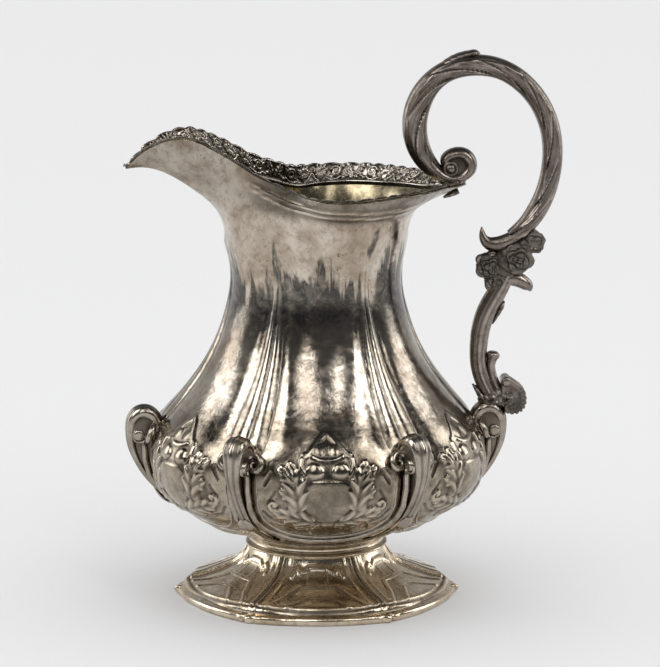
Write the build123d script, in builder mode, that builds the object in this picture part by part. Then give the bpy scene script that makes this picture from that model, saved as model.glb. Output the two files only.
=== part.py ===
from build123d import *

import math
import os

# A silver cream jug on a pedestal foot: six-lobed body, pouring lip with a cast border,
# six applied scroll ribs and a high double-scroll handle with roses. Millimetres, +Z up.
# The origin is the centre of the foot ring on the table. The handle is on +X, the lip on -X.

LOBES = 6  # lobes of the body; the ribs lie in the valleys between them
WALL = 0.9  # thickness of the raised silver sheet
SOLDER_GAP = 0.03  # clearance between soldered castings and the sheet
SECTION_STEP = 5  # degrees between the meridian sections of the lobed shells

BODY_BASE = 19.2  # height of the body's underside
BODY_FLOOR_RADIUS = 19.5
FOOT_TURN = -3  # degrees that the foot is turned against the body when soldered
FOOT_RIM_HEIGHT = 2.4
FOOT_RIM_WIDTH = 4.0
FOOT_PANEL_RADIUS = 38.9
FOOT_RIB_RADIUS = 40.2
FOOT_EAR_RADIUS = 1.9
FOOT_EAR_CENTRE = 39.7  # distance of an ear's centre from the axis

BORDER_THICKNESS = 1.3
BORDER_WIDTH = 5.6
BORDER_OVERHANG = 0.7  # how far the cast border stands past the edge of the sheet

# Body profile up to the neck: height, radius at a lobe's middle, radius in a valley.
BODY_STATIONS = (
    (19.2, 19.0, 19.0),
    (19.9, 23.4, 23.0),
    (21.4, 26.4, 25.6),
    (23.4, 31.0, 29.6),
    (25.6, 36.0, 34.2),
    (28.4, 41.2, 39.2),
    (32.0, 45.9, 43.8),
    (36.5, 49.3, 46.9),
    (41.5, 50.7, 48.1),
    (46.0, 50.4, 48.0),
    (50.0, 48.5, 46.6),
    (54.0, 45.4, 44.2),
    (58.0, 41.6, 41.0),
    (63.0, 37.2, 37.0),
    (69.0, 32.9, 32.8),
    (76.0, 29.2, 29.1),
    (84.0, 26.3, 26.2),
    (93.0, 24.7, 24.6),
    (100.0, 25.3, 25.2),
    (106.5, 26.5, 26.5),
)

# Top of the body against the angle from the handle: angle, then radius and height of the
# crease under the border, of the middle of the flange or cheek, and of the edge.
RIM_STATIONS = (
    (0, 28.8, 114.3, 33.8, 117.0, 43.4, 120.8),
    (10, 28.8, 114.4, 32.8, 117.1, 39.4, 121.0),
    (20, 28.8, 114.5, 32.0, 117.3, 36.8, 121.2),
    (43, 28.8, 114.6, 31.1, 117.7, 34.1, 121.4),
    (63, 28.8, 114.6, 30.8, 117.8, 33.1, 121.3),
    (81, 28.7, 114.6, 30.4, 117.8, 32.2, 121.0),
    (90, 28.2, 115.3, 29.3, 118.2, 30.4, 121.3),
    (101, 27.4, 116.2, 27.4, 119.2, 27.2, 122.1),
    (113, 26.7, 117.0, 26.2, 120.5, 25.5, 123.9),
    (126, 26.6, 117.2, 26.2, 121.5, 25.7, 125.8),
    (138, 26.9, 116.8, 26.9, 122.4, 27.2, 128.2),
    (145, 27.4, 116.4, 28.1, 123.0, 29.1, 130.4),
    (152, 28.0, 116.0, 29.6, 123.6, 31.6, 132.6),
    (158, 28.4, 115.6, 31.2, 124.2, 34.4, 134.6),
    (163, 28.7, 115.4, 33.0, 124.6, 37.4, 136.0),
    (168, 29.0, 115.3, 35.0, 125.2, 40.8, 136.2),
    (171.5, 29.2, 115.3, 37.0, 125.8, 44.2, 135.2),
    (174.5, 29.4, 115.3, 39.0, 125.8, 47.8, 133.2),
    (177.3, 29.5, 115.4, 41.0, 125.2, 51.5, 130.2),
    (180, 29.6, 115.6, 42.3, 124.6, 54.8, 126.4),
)

# Foot profile: height, radius at a panel's middle, radius on a ridge.
FOOT_STATIONS = (
    (2.4, 37.6, 38.9),
    (3.4, 37.4, 38.7),
    (4.4, 36.6, 37.8),
    (5.2, 34.0, 35.2),
    (6.4, 30.0, 31.2),
    (8.0, 25.8, 27.0),
    (10.0, 22.4, 23.4),
    (12.6, 20.2, 21.0),
    (15.2, 19.2, 19.6),
)

# Outline of one scroll rib in its own upright plane: radius, height.
RIB_OUTER = (
    (44.9, 54.7),
    (46.6, 56.3),
    (49.6, 56.9),
    (52.9, 55.8),
    (54.9, 53.0),
    (55.6, 48.8),
    (54.9, 44.3),
    (53.4, 40.5),
    (51.2, 36.8),
    (48.3, 33.3),
    (44.5, 29.8),
    (40.0, 26.9),
    (34.0, 24.0),
    (28.5, 21.9),
    (24.6, 20.6),
)
RIB_SINK = 0.5  # how far the blank reaches into the sheet before it is fitted to it
# Half width of a rib against height, from its foot to its rolled head.
RIB_HALF_WIDTHS = ((19.0, 1.0), (24.0, 1.4), (30.0, 2.0), (36.0, 2.8), (42.0, 3.7), (47.0, 4.4))
RIB_HEAD_SHOULDER = (3.3, 54.0)  # half width and height where the head starts to close
RIB_HEAD_TOP = (0, 57.5)
RIB_REACH = 80  # cutting length that passes the outermost point of a rib

# Scrolls of the handle in the XZ plane: x, z, half thickness, half width.
UPPER_SCROLL = (
    (38.4, 125.2, 1.6, 2.6),
    (37.5, 128.3, 1.8, 3.0),
    (40.6, 130.1, 1.9, 3.2),
    (43.7, 128.9, 2.0, 3.3),
    (44.5, 126.0, 2.0, 3.4),
    (42.6, 123.5, 1.7, 3.4),
    (38.8, 122.8, 1.45, 3.5),
    (34.8, 124.5, 2.3, 3.6),
    (31.4, 128.2, 3.0, 3.8),
    (29.2, 132.8, 3.4, 4.0),
    (28.4, 138.2, 3.6, 4.1),
    (29.4, 144.0, 3.6, 4.1),
    (32.3, 149.4, 3.3, 4.0),
    (36.6, 153.2, 3.1, 3.9),
    (41.6, 155.1, 3.1, 3.8),
    (46.9, 155.5, 3.1, 3.7),
    (52.8, 154.4, 3.0, 3.7),
    (58.3, 151.3, 3.0, 3.7),
    (62.7, 146.9, 2.95, 3.6),
    (66.0, 141.4, 2.95, 3.6),
    (67.9, 135.2, 2.95, 3.6),
    (68.4, 129.2, 2.95, 3.6),
    (67.8, 123.4, 2.95, 3.5),
    (66.3, 117.8, 2.95, 3.4),
    (63.8, 112.6, 2.9, 3.2),
    (60.6, 108.4, 2.6, 3.0),
    (56.6, 105.2, 2.1, 2.8),
)
LOWER_SCROLL = (
    (57.2, 102.6, 1.7, 2.4),
    (56.6, 98.0, 2.0, 2.6),
    (55.0, 93.4, 2.4, 2.8),
    (52.4, 88.6, 2.8, 3.1),
    (49.8, 83.8, 2.9, 3.2),
    (48.0, 78.6, 2.75, 3.2),
    (47.3, 73.4, 2.6, 3.1),
    (47.2, 68.4, 2.4, 3.0),
    (48.1, 64.2, 2.4, 2.9),
    (49.8, 60.4, 2.4, 2.8),
    (51.2, 57.6, 2.3, 2.7),
)
UPPER_HORN = (
    (55.8, 103.4, 1.5, 2.0),
    (52.4, 102.7, 1.9, 1.9),
    (49.6, 103.3, 1.6, 1.6),
    (48.3, 105.4, 1.1, 1.1),
    (48.1, 108.2, 0.25, 0.25),
)
LOWER_HORN = (
    (54.6, 91.6, 2.0, 2.4),
    (57.0, 92.3, 2.1, 2.3),
    (59.4, 91.8, 1.9, 2.0),
    (61.2, 90.6, 1.4, 1.4),
    (62.2, 89.2, 0.4, 0.4),
)
THUMB_LEAF = (
    (34.0, 153.6, 0.5, 1.4),
    (38.4, 157.2, 0.9, 2.2),
    (43.0, 159.1, 0.9, 2.1),
    (46.9, 159.3, 0.7, 1.5),
)
SPUR_LEAF = (
    (51.6, 80.4, 0.4, 1.0),
    (53.0, 83.0, 0.7, 1.6),
    (54.3, 85.8, 0.5, 1.1),
)
BUD = (
    (53.3, 59.6, 1.3, 1.8),
    (51.4, 64.0, 1.4, 1.6),
    (50.9, 67.6, 1.3, 1.5),
    (51.5, 70.9, 1.7, 1.7),
)
# Collar between foot and body: radius, height of its outer face.
COLLAR_OUTER = (
    (20.3, 15.3),
    (20.3, 15.9),
    (19.3, 16.8),
    (19.6, 18.0),
    (20.6, 18.8),
    (21.0, 19.1),
)
COLLAR_BORE = 17.6
RIM_TAB = (
    (41.2, 118.9, 0.9, 1.6),
    (38.8, 117.9, 0.8, 1.4),
    (36.8, 117.0, 0.35, 0.5),
)
BASE_LEAF = (
    (46.0, 61.0, 0.4, 1.0),
    (47.9, 58.6, 1.0, 2.4),
    (49.2, 56.6, 1.2, 2.8),
)
# Blooms of the handle: x, z, radius at the cheeks, half depth.
ROSE_LARGE = (58.0, 99.1, 3.8, 4.9)
ROSE_SIDE = (50.0, 96.9, 2.9, 3.9)
ROSE_LOW = (51.8, 92.4, 2.5, 3.8)
ROSE_OUTER = (63.2, 104.0, 2.6, 3.2)
FLOWER_INNER = (51.0, 57.4, 2.0, 4.2)
FLOWER_OUTER = (55.2, 57.4, 2.1, 4.2)
BLOOM_HEART = 0.35  # radius of a bloom's flat heart, as a share of its radius
BLOOM_CHEEK = 0.55  # where a bloom is widest, as a share of its half depth
# Rolled shell at the foot of the handle, in the XZ plane.
SHELL_OUTLINE = (
    (53.6, 60.4),
    (54.6, 64.0),
    (58.2, 62.4),
    (60.4, 60.4),
    (61.4, 57.0),
    (60.4, 54.2),
    (58.0, 52.8),
    (55.0, 53.2),
)
SHELL_HALF_WIDTH = 3.2
SOCKET_OUTLINE = ((47.0, 55.6), (48.6, 59.0), (56.4, 58.8), (56.6, 54.6), (52.6, 55.4), (49.6, 56.2))
SOCKET_HALF_WIDTH = 2.6

os.makedirs("parts", exist_ok=True)


def blend(table, key):
    """The row of values at key, in line between the table's rows."""
    for low, high in zip(table, table[1:]):
        if key <= high[0]:
            share = (key - low[0]) / (high[0] - low[0])
            return [a + (b - a) * share for a, b in zip(low[1:], high[1:])]
    return list(table[-1][1:])


def lobe(angle):
    """0 in a valley, 1 at the middle of a lobe."""
    return math.sin(math.radians(LOBES / 2 * angle)) ** 2


def lobed(stations, angle):
    """Points (radius, height) of a lobed wall at an angle."""
    swell = lobe(angle) ** 0.75
    return [(valley + (crown - valley) * swell, height) for height, crown, valley in stations]


def body_outline(angle):
    """Outer wall of the body at an angle, from the underside to the edge of the lip."""
    crease_r, crease_z, mid_r, mid_z, edge_r, edge_z = blend(RIM_STATIONS, angle)
    rim = [(crease_r, crease_z), (mid_r, mid_z), (edge_r, edge_z)]
    return lobed(BODY_STATIONS, angle) + rim


def inset(points, distance):
    """The points moved to the left of their direction of travel."""
    moved = []
    for index, (radius, height) in enumerate(points):
        before = points[max(index - 1, 0)]
        after = points[min(index + 1, len(points) - 1)]
        run, rise = after[0] - before[0], after[1] - before[1]
        length = math.hypot(run, rise)
        moved.append((radius - rise / length * distance, height + run / length * distance))
    return moved


def meridian(angle):
    """Upright plane through the axis: local X is the radius, local Y is the height."""
    turn = math.radians(angle)
    return Plane(
        origin=(0, 0, 0),
        x_dir=(math.cos(turn), math.sin(turn), 0),
        z_dir=(math.sin(turn), -math.cos(turn), 0),
    )


def chords(points):
    """Share of the way along a run of points at which each of them lies."""
    reached = [0.0]
    for start, end in zip(points, points[1:]):
        reached.append(reached[-1] + math.dist(start, end))
    return [length / reached[-1] for length in reached]


def strip(angle, outer, inner, knots):
    """Section at an angle of the wall between two outlines that run the same way.

    Every section of a wall has the same knots, which keeps the lofted faces light.
    """
    with BuildSketch(meridian(angle)) as section:
        with BuildLine():
            add(Edge.make_spline([Vector(*point) for point in outer], parameters=knots))
            Line(outer[-1], inner[-1])
            add(Edge.make_spline([Vector(*point) for point in inner], parameters=knots))
            Line(inner[0], outer[0])
        make_face()
    return section.sketch


def wall_sections(outline):
    """Sections over one half of a wall of sheet silver inside an outline."""
    knots = chords(outline(180 / LOBES))
    lines = {angle: outline(angle) for angle in half_turn()}
    return [strip(angle, line, inset(line, WALL), knots) for angle, line in lines.items()]


def half_turn():
    """Angles of the sections of one half, from the handle round to the lip."""
    return range(0, 181, SECTION_STEP)


def ovals(stations):
    """Oval sections of a scroll, each set square to its path in the XZ plane."""
    sections = []
    for index, (x, z, half_thickness, half_width) in enumerate(stations):
        before = stations[max(index - 1, 0)]
        after = stations[min(index + 1, len(stations) - 1)]
        path = Vector(after[0] - before[0], 0, after[1] - before[1])
        with BuildSketch(Plane(origin=(x, 0, z), x_dir=(0, 1, 0), z_dir=path)) as section:
            Ellipse(half_width, half_thickness)
        sections.append(section.sketch)
    return sections


def bloom(shape):
    """Half section of a flower head that opens on both faces of the handle."""
    x, z, radius, half_depth = shape
    heart, cheek = BLOOM_HEART * radius, BLOOM_CHEEK * half_depth
    with BuildSketch(Plane(origin=(x, 0, z), x_dir=(1, 0, 0), z_dir=(0, 0, 1))) as section:
        with BuildLine():
            Polyline((heart, -half_depth), (0, -half_depth), (0, half_depth), (heart, half_depth))
            Spline((heart, half_depth), (radius, cheek), (radius, -cheek), (heart, -half_depth))
        make_face()
    return section.sketch


def largest(piece):
    """The main solid of a piece, without crumbs left by fitting it to its neighbours."""
    return piece.part.solids().sort_by(SortBy.VOLUME)[-1]


def save(piece, name):
    """Labels a finished piece and writes its STEP file."""
    piece.part.label = name
    export_step(piece.part, f"parts/{name}.step")


def along(start, end, distance):
    """The point at a distance from start towards end, or past it."""
    share = distance / math.dist(start, end)
    return tuple(a + (b - a) * share for a, b in zip(start, end))


def border_section(angle):
    """Section of the cast border: a flat bar on the last stretch of the sheet's inner face."""
    crease, middle, edge = inset(body_outline(angle), WALL + SOLDER_GAP)[-3:]
    reach = math.dist(middle, edge)
    tip = along(middle, edge, reach + BORDER_OVERHANG)
    if reach < BORDER_WIDTH:
        start = along(middle, crease, BORDER_WIDTH - reach)
    else:
        start = along(edge, middle, BORDER_WIDTH)
    face = inset([start, tip], BORDER_THICKNESS)
    with BuildSketch(meridian(angle)) as section:
        with BuildLine():
            Polyline(start, tip, face[1], face[0], close=True)
        make_face()
    return section.sketch


def foot_outline(angle):
    """Outer face of the foot at an angle, from the foot rim up to the collar."""
    return lobed(FOOT_STATIONS, angle)


def rim_loop(depth):
    """Face inside the six-lobed outline of the foot rim, moved inwards by a depth."""
    points = []
    for angle in range(0, 360, SECTION_STEP):
        radius = FOOT_RIB_RADIUS + (FOOT_PANEL_RADIUS - FOOT_RIB_RADIUS) * lobe(angle) - depth
        turn = math.radians(angle)
        points.append((radius * math.cos(turn), radius * math.sin(turn)))
    with BuildSketch(mode=Mode.PRIVATE) as loop:
        with BuildLine():
            Spline(*points, periodic=True)
        make_face()
    return loop.sketch


# Body: one raised sheet from the floor to the edge of the lip.
with BuildPart() as body_shell:
    loft(sections=wall_sections(body_outline))
    mirror(about=Plane.XZ)
    with BuildSketch(Plane.XY.offset(BODY_BASE)):
        Circle(BODY_FLOOR_RADIUS)
    extrude(amount=WALL)
save(body_shell, "body_shell")

# Cast border of the lip, in two castings that meet at the pouring tip and at the handle.
with BuildPart() as lip_border_right:
    loft(sections=[border_section(angle) for angle in half_turn()])
    add(body_shell.part, mode=Mode.SUBTRACT)
    add(largest(lip_border_right), mode=Mode.REPLACE)
save(lip_border_right, "lip_border_right")

with BuildPart() as lip_border_left:
    add(mirror(lip_border_right.part, about=Plane.XZ, mode=Mode.PRIVATE))
save(lip_border_left, "lip_border_left")

# Collar: a moulded ring between the foot and the underside of the body.
with BuildPart() as collar:
    with BuildSketch(Plane.XZ):
        with BuildLine():
            Spline(*COLLAR_OUTER)
            top, bottom = COLLAR_OUTER[-1], COLLAR_OUTER[0]
            Polyline(top, (COLLAR_BORE, top[1]), (COLLAR_BORE, bottom[1]), bottom)
        make_face()
    revolve(axis=Axis.Z)
save(collar, "collar")

# Foot: the rim wire that it stands on, and a flared shell with six hollow panels.
with BuildPart() as foot_rim:
    with BuildSketch(Plane.XY.rotated((0, 0, FOOT_TURN))):
        add(rim_loop(0))
        with PolarLocations(FOOT_EAR_CENTRE, LOBES):
            Circle(FOOT_EAR_RADIUS)
        add(rim_loop(FOOT_RIM_WIDTH), mode=Mode.SUBTRACT)
    extrude(amount=FOOT_RIM_HEIGHT)
save(foot_rim, "foot_rim")

with BuildPart() as foot_blank:
    loft(sections=wall_sections(foot_outline))
    mirror(about=Plane.XZ)

with BuildPart() as foot_shell:
    add(foot_blank.part, rotation=(0, 0, FOOT_TURN))
    add(foot_rim.part, mode=Mode.SUBTRACT)
    add(collar.part, mode=Mode.SUBTRACT)
    add(largest(foot_shell), mode=Mode.REPLACE)
save(foot_shell, "foot_shell")

# Scroll ribs: a keel that follows the valley and rolls over into a head at the shoulder.
with BuildPart() as rib_blank:
    with BuildSketch(meridian(0)):
        with BuildLine():
            Spline(*RIB_OUTER)
            valley = [
                (radius - RIB_SINK, height)
                for height, _, radius in BODY_STATIONS
                if RIB_OUTER[-1][1] < height < RIB_OUTER[0][1]
            ]
            Spline(RIB_OUTER[-1], *valley, RIB_OUTER[0])
        make_face()
    extrude(amount=BODY_FLOOR_RADIUS, both=True)
    with BuildSketch(Plane.YZ):
        with BuildLine():
            right = [(width, height) for height, width in RIB_HALF_WIDTHS]
            left = [(-width, height) for width, height in right]
            shoulder = RIB_HEAD_SHOULDER
            Spline(*right)
            Spline(right[-1], shoulder, RIB_HEAD_TOP, (-shoulder[0], shoulder[1]), left[-1])
            Spline(*left)
            Line(left[0], right[0])
        make_face()
    extrude(amount=RIB_REACH, mode=Mode.INTERSECT)
    add(body_shell.part, mode=Mode.SUBTRACT)

rib = largest(rib_blank)
for number in range(LOBES):
    with BuildPart() as scroll_rib:
        add(rib, rotation=(0, 0, number * 360 / LOBES))
        add(body_shell.part, mode=Mode.SUBTRACT)
        add(largest(scroll_rib), mode=Mode.REPLACE)
    save(scroll_rib, f"scroll_rib_{number + 1}")

# Handle: the upper and lower scrolls, and the castings soldered on to them.
with BuildPart() as handle_upper_scroll:
    loft(sections=ovals(UPPER_SCROLL))
    add([lip_border_right.part, lip_border_left.part], mode=Mode.SUBTRACT)
    add(largest(handle_upper_scroll), mode=Mode.REPLACE)
save(handle_upper_scroll, "handle_upper_scroll")

with BuildPart() as handle_lower_scroll:
    loft(sections=ovals(LOWER_SCROLL))
    add([rib, handle_upper_scroll.part], mode=Mode.SUBTRACT)
    add(largest(handle_lower_scroll), mode=Mode.REPLACE)
save(handle_lower_scroll, "handle_lower_scroll")

with BuildPart() as handle_socket:
    with BuildSketch(Plane.XZ):
        with BuildLine():
            Spline(*SOCKET_OUTLINE, periodic=True)
        make_face()
    extrude(amount=SOCKET_HALF_WIDTH, both=True)
    add([rib, handle_lower_scroll.part], mode=Mode.SUBTRACT)
    add(largest(handle_socket), mode=Mode.REPLACE)
save(handle_socket, "handle_socket")

placed = [rib, handle_upper_scroll.part, handle_lower_scroll.part, handle_socket.part]
scroll_castings = {
    "handle_upper_horn": UPPER_HORN,
    "handle_lower_horn": LOWER_HORN,
    "thumb_leaf": THUMB_LEAF,
    "spur_leaf": SPUR_LEAF,
    "handle_bud": BUD,
    "base_leaf": BASE_LEAF,
    "rim_tab": RIM_TAB,
}
for name, stations in scroll_castings.items():
    with BuildPart() as casting:
        loft(sections=ovals(stations))
        add(placed, mode=Mode.SUBTRACT)
        add(largest(casting), mode=Mode.REPLACE)
    placed.append(casting.part)
    save(casting, name)

blooms = {
    "rose_large": ROSE_LARGE,
    "rose_side": ROSE_SIDE,
    "rose_low": ROSE_LOW,
    "rose_outer": ROSE_OUTER,
    "flower_inner": FLOWER_INNER,
    "flower_outer": FLOWER_OUTER,
}
for name, shape in blooms.items():
    with BuildPart() as casting:
        add(bloom(shape))
        revolve(axis=Axis((shape[0], 0, shape[1]), (0, 1, 0)))
        add(placed, mode=Mode.SUBTRACT)
        add(largest(casting), mode=Mode.REPLACE)
    placed.append(casting.part)
    save(casting, name)

with BuildPart() as handle_shell:
    with BuildSketch(Plane.XZ):
        with BuildLine():
            Spline(*SHELL_OUTLINE, periodic=True)
        make_face()
    extrude(amount=SHELL_HALF_WIDTH, both=True)
    add(placed, mode=Mode.SUBTRACT)
    add(largest(handle_shell), mode=Mode.REPLACE)
save(handle_shell, "handle_shell")
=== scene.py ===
import math

import bpy
import numpy as np
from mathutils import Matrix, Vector


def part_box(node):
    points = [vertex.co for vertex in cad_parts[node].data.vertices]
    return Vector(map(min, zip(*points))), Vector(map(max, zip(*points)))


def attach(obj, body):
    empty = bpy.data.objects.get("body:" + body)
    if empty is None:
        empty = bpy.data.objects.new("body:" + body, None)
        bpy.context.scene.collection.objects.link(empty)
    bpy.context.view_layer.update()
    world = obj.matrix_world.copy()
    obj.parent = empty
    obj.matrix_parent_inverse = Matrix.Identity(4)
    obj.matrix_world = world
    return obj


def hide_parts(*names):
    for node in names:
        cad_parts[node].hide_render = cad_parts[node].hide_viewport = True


# A silver cream jug. Shapes are worked out in millimetres and written to the meshes in metres.
# The handle is on +X, the pouring lip on -X, and the six ribs stand at multiples of 60 degrees.

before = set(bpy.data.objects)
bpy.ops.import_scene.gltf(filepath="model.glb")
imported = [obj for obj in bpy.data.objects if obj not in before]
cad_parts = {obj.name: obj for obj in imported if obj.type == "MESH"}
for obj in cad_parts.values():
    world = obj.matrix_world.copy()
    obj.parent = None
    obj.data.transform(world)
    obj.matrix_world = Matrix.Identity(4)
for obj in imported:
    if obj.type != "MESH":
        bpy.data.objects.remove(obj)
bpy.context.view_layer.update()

MM = 0.001
LOBES = 6
PANEL = 360 / LOBES
COLUMNS = 720  # columns of the body's mesh all round
WALL = 0.9

FOOT_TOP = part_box("collar")[0].z / MM
BODY_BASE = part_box("body_shell")[0].z / MM
RIM_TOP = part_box("foot_rim")[1].z / MM

# Body: height, radius at a panel's middle, radius at a rib.
BODY = np.array((
    (BODY_BASE, 19.0, 19.0), (19.9, 23.4, 23.0), (21.4, 26.4, 25.6), (23.4, 31.0, 29.6), (25.6, 36.0, 34.2),
    (28.4, 41.2, 39.2), (32.0, 45.9, 43.8), (36.5, 48.95, 46.9), (41.5, 50.1, 48.1), (46.0, 49.85, 48.0),
    (50.0, 48.3, 46.6), (54.0, 45.3, 44.2), (58.0, 41.5, 41.0), (63.0, 37.1, 37.0), (69.0, 32.8, 32.8),
    (76.0, 29.1, 29.1), (84.0, 26.3, 26.3), (93.0, 24.7, 24.7), (100.0, 25.3, 25.3), (106.5, 26.5, 26.5),
))
SEAM = 12  # row of BODY where the chased belly panels meet the neck
# Lip against the angle from the handle: crease radius and height, middle, edge.
RIM = np.array((
    (0, 28.8, 114.3, 33.8, 117.0, 43.4, 120.8), (10, 28.8, 114.4, 32.8, 117.1, 39.4, 121.0),
    (20, 28.8, 114.5, 32.0, 117.3, 36.8, 121.2), (43, 28.8, 114.6, 31.1, 117.7, 34.1, 121.4),
    (63, 28.8, 114.6, 30.8, 117.8, 33.1, 121.3), (81, 28.7, 114.6, 30.4, 117.8, 32.2, 121.0),
    (90, 28.2, 115.3, 29.3, 118.2, 30.4, 121.3), (101, 27.4, 116.2, 27.4, 119.2, 27.2, 122.1),
    (113, 26.7, 117.0, 26.2, 120.5, 25.5, 123.9), (126, 26.6, 117.2, 26.2, 121.5, 25.7, 125.8),
    (138, 26.9, 116.8, 26.9, 122.4, 27.2, 128.2), (145, 27.4, 116.4, 28.1, 123.0, 29.1, 130.4),
    (152, 28.0, 116.0, 29.6, 123.6, 31.6, 132.6), (158, 28.4, 115.6, 31.2, 124.2, 34.4, 134.6),
    (163, 28.7, 115.4, 33.0, 124.6, 37.4, 136.0), (168, 29.0, 115.3, 35.0, 125.2, 40.8, 136.2),
    (171.5, 29.2, 115.3, 37.0, 125.8, 44.2, 135.2), (174.5, 29.4, 115.3, 39.0, 125.8, 47.8, 133.2),
    (177.3, 29.5, 115.4, 41.0, 125.2, 51.5, 130.2), (180, 29.6, 115.6, 42.3, 124.6, 54.8, 126.4),
))


# ---------------------------------------------------------------- curves and fields

def smooth(low, high, x):
    """0 below low, 1 above high, with a soft step between."""
    t = np.clip((np.asarray(x, float) - low) / (high - low), 0, 1)
    return t * t * (3 - 2 * t)


def spline_weights(knots, at):
    """Weights of each knot's value in a natural cubic spline, one row for each place in at."""
    x = np.asarray(knots, float)
    at = np.atleast_1d(np.asarray(at, float))
    count = len(x)
    gap = np.diff(x)
    system = np.eye(count)
    right = np.zeros((count, count))
    for i in range(1, count - 1):
        system[i, i - 1:i + 2] = gap[i - 1], 2 * (gap[i - 1] + gap[i]), gap[i]
        right[i, i - 1] = 6 / gap[i - 1]
        right[i, i] = -6 / gap[i - 1] - 6 / gap[i]
        right[i, i + 1] = 6 / gap[i]
    bends = np.linalg.solve(system, right)
    cell = np.clip(np.searchsorted(x, at, side="right") - 1, 0, count - 2)
    width = gap[cell][:, None]
    before = (x[cell + 1] - at)[:, None] / width
    after = (at - x[cell])[:, None] / width
    eye = np.eye(count)
    curve = (before ** 3 - before) * bends[cell] + (after ** 3 - after) * bends[cell + 1]
    return before * eye[cell] + after * eye[cell + 1] + curve * width ** 2 / 6


def spline(knots, rows, at):
    """Values of the rows at the places in at, on a smooth curve through them."""
    return spline_weights(knots, at) @ np.asarray(rows, float)


def chords(points):
    """Distance along a run of points at which each of them lies."""
    steps = np.linalg.norm(np.diff(np.asarray(points, float), axis=0), axis=1)
    return np.concatenate(([0.0], np.cumsum(steps)))


def smooth_path(points, step):
    """Places about a step apart on a smooth curve through the points, with any further columns."""
    points = np.asarray(points, float)
    knots = chords(points[:, :2] if points.shape[1] == 2 else points[:, :3])
    count = max(int(knots[-1] / step), 4)
    return spline(knots, points, np.linspace(0, knots[-1], count))


def to_line(x, y, line):
    """Distance of every place (x, y) from a run of points, and how far along it the nearest one lies."""
    line = np.asarray(line, float)
    best = np.full(np.shape(x), 1e9)
    place = np.zeros(np.shape(x))
    start = chords(line)
    for i, (a, b) in enumerate(zip(line, line[1:])):
        span = b - a
        share = np.clip(((x - a[0]) * span[0] + (y - a[1]) * span[1]) / max(span @ span, 1e-9), 0, 1)
        away = np.hypot(x - a[0] - share * span[0], y - a[1] - share * span[1])
        nearer = away < best
        best = np.where(nearer, away, best)
        place = np.where(nearer, start[i] + share * math.sqrt(span @ span), place)
    return best, place / start[-1]


def ridge(x, y, line, half_width, height):
    """A rounded ridge along a run of points."""
    away, _ = to_line(x, y, line)
    return height * np.sqrt(np.clip(1 - (away / half_width) ** 2, 0, 1))


def dome(x, y, centre, half_x, half_y, height, power=0.5):
    """A rounded boss on an oval base."""
    away = ((x - centre[0]) / half_x) ** 2 + ((y - centre[1]) / half_y) ** 2
    return height * np.clip(1 - away, 0, 1) ** power


def curl(centre, start_radius, turns, start_angle, end_radius=0.2, points=14):
    """Points of a spiral that winds in to its centre; positive turns run anticlockwise."""
    share = np.linspace(0, 1, points)
    radius = start_radius + (end_radius - start_radius) * share
    angle = math.radians(start_angle) + share * turns * 2 * math.pi
    return np.stack((centre[0] + radius * np.cos(angle), centre[1] + radius * np.sin(angle)), 1)


def blurred(field, passes, wrap):
    """The field averaged with its neighbours; wrap says that its columns go all round."""
    for _ in range(passes):
        rows = np.pad(field, ((1, 1), (0, 0)), mode="edge")
        field = (rows[:-2] + 2 * rows[1:-1] + rows[2:]) / 4
        columns = np.pad(field, ((0, 0), (1, 1)), mode="wrap" if wrap else "edge")
        field = (columns[:, :-2] + 2 * columns[:, 1:-1] + columns[:, 2:]) / 4
    return field


# ---------------------------------------------------------------- meshes

def quads(rows, columns, wrap_columns=False, wrap_rows=False, first=0):
    """Faces of a grid of vertices that is stored row by row."""
    i = np.arange(rows if wrap_rows else rows - 1)[:, None]
    j = np.arange(columns if wrap_columns else columns - 1)[None, :]
    below, above = i * columns, ((i + 1) % rows) * columns
    right = (j + 1) % columns
    faces = np.stack((below + j, below + right, above + right, above + j), -1)
    return (faces.reshape(-1, 4) + first).tolist()


def volume(points, faces):
    """Signed volume inside a closed mesh."""
    total = 0.0
    by_size = {}
    for face in faces:
        by_size.setdefault(len(face), []).append(face)
    for size, group in by_size.items():
        corners = points[np.array(group)]
        for k in range(1, size - 1):
            total += np.einsum("ij,ij->", corners[:, 0], np.cross(corners[:, k], corners[:, k + 1])) / 6
    return total


def joined(shapes):
    """One shape, which is points, faces and darkness, from several."""
    points, faces, dark = [], [], []
    first = 0
    for shape in shapes:
        points.append(shape[0])
        faces.extend([[index + first for index in face] for face in shape[1]])
        dark.append(shape[2] if len(shape) > 2 else np.zeros(len(shape[0])))
        first += len(shape[0])
    return np.concatenate(points), faces, np.concatenate(dark)


def outward(shape):
    """The shape with its faces turned so that they look out."""
    points, faces = shape[0], shape[1]
    if volume(points, faces) < 0:
        faces = [face[::-1] for face in faces]
    return (points, faces) + tuple(shape[2:])


def piece(name, shape, material, nodes=(), normals=None, sharp=None):
    """A finished object: its points are in millimetres; darkness is tarnish and painted shade, or below 0 a worn edge
    with a painted highlight.
    """
    shape = outward(shape)
    mesh = bpy.data.meshes.new(name)
    mesh.from_pydata((shape[0] * MM).tolist(), [], shape[1])
    mesh.validate()
    mesh.polygons.foreach_set("use_smooth", np.ones(len(mesh.polygons), bool))
    dark = shape[2] if len(shape) > 2 else np.zeros(len(shape[0]))
    patina_and_shading = mesh.attributes.new("patina_and_shading", "FLOAT", "POINT")
    patina_and_shading.data.foreach_set("value", np.clip(dark, -1, 1).astype(np.float32))
    mesh.materials.append(material)
    if sharp is not None:
        mesh.set_sharp_from_angle(angle=math.radians(sharp))
    if normals is not None:
        mesh.normals_split_custom_set_from_vertices(normals.tolist())
    mesh.update()
    made = bpy.data.objects.new(name, mesh)
    bpy.context.scene.collection.objects.link(made)
    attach(made, "root")
    if nodes:
        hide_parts(*nodes)
    return made


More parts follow.
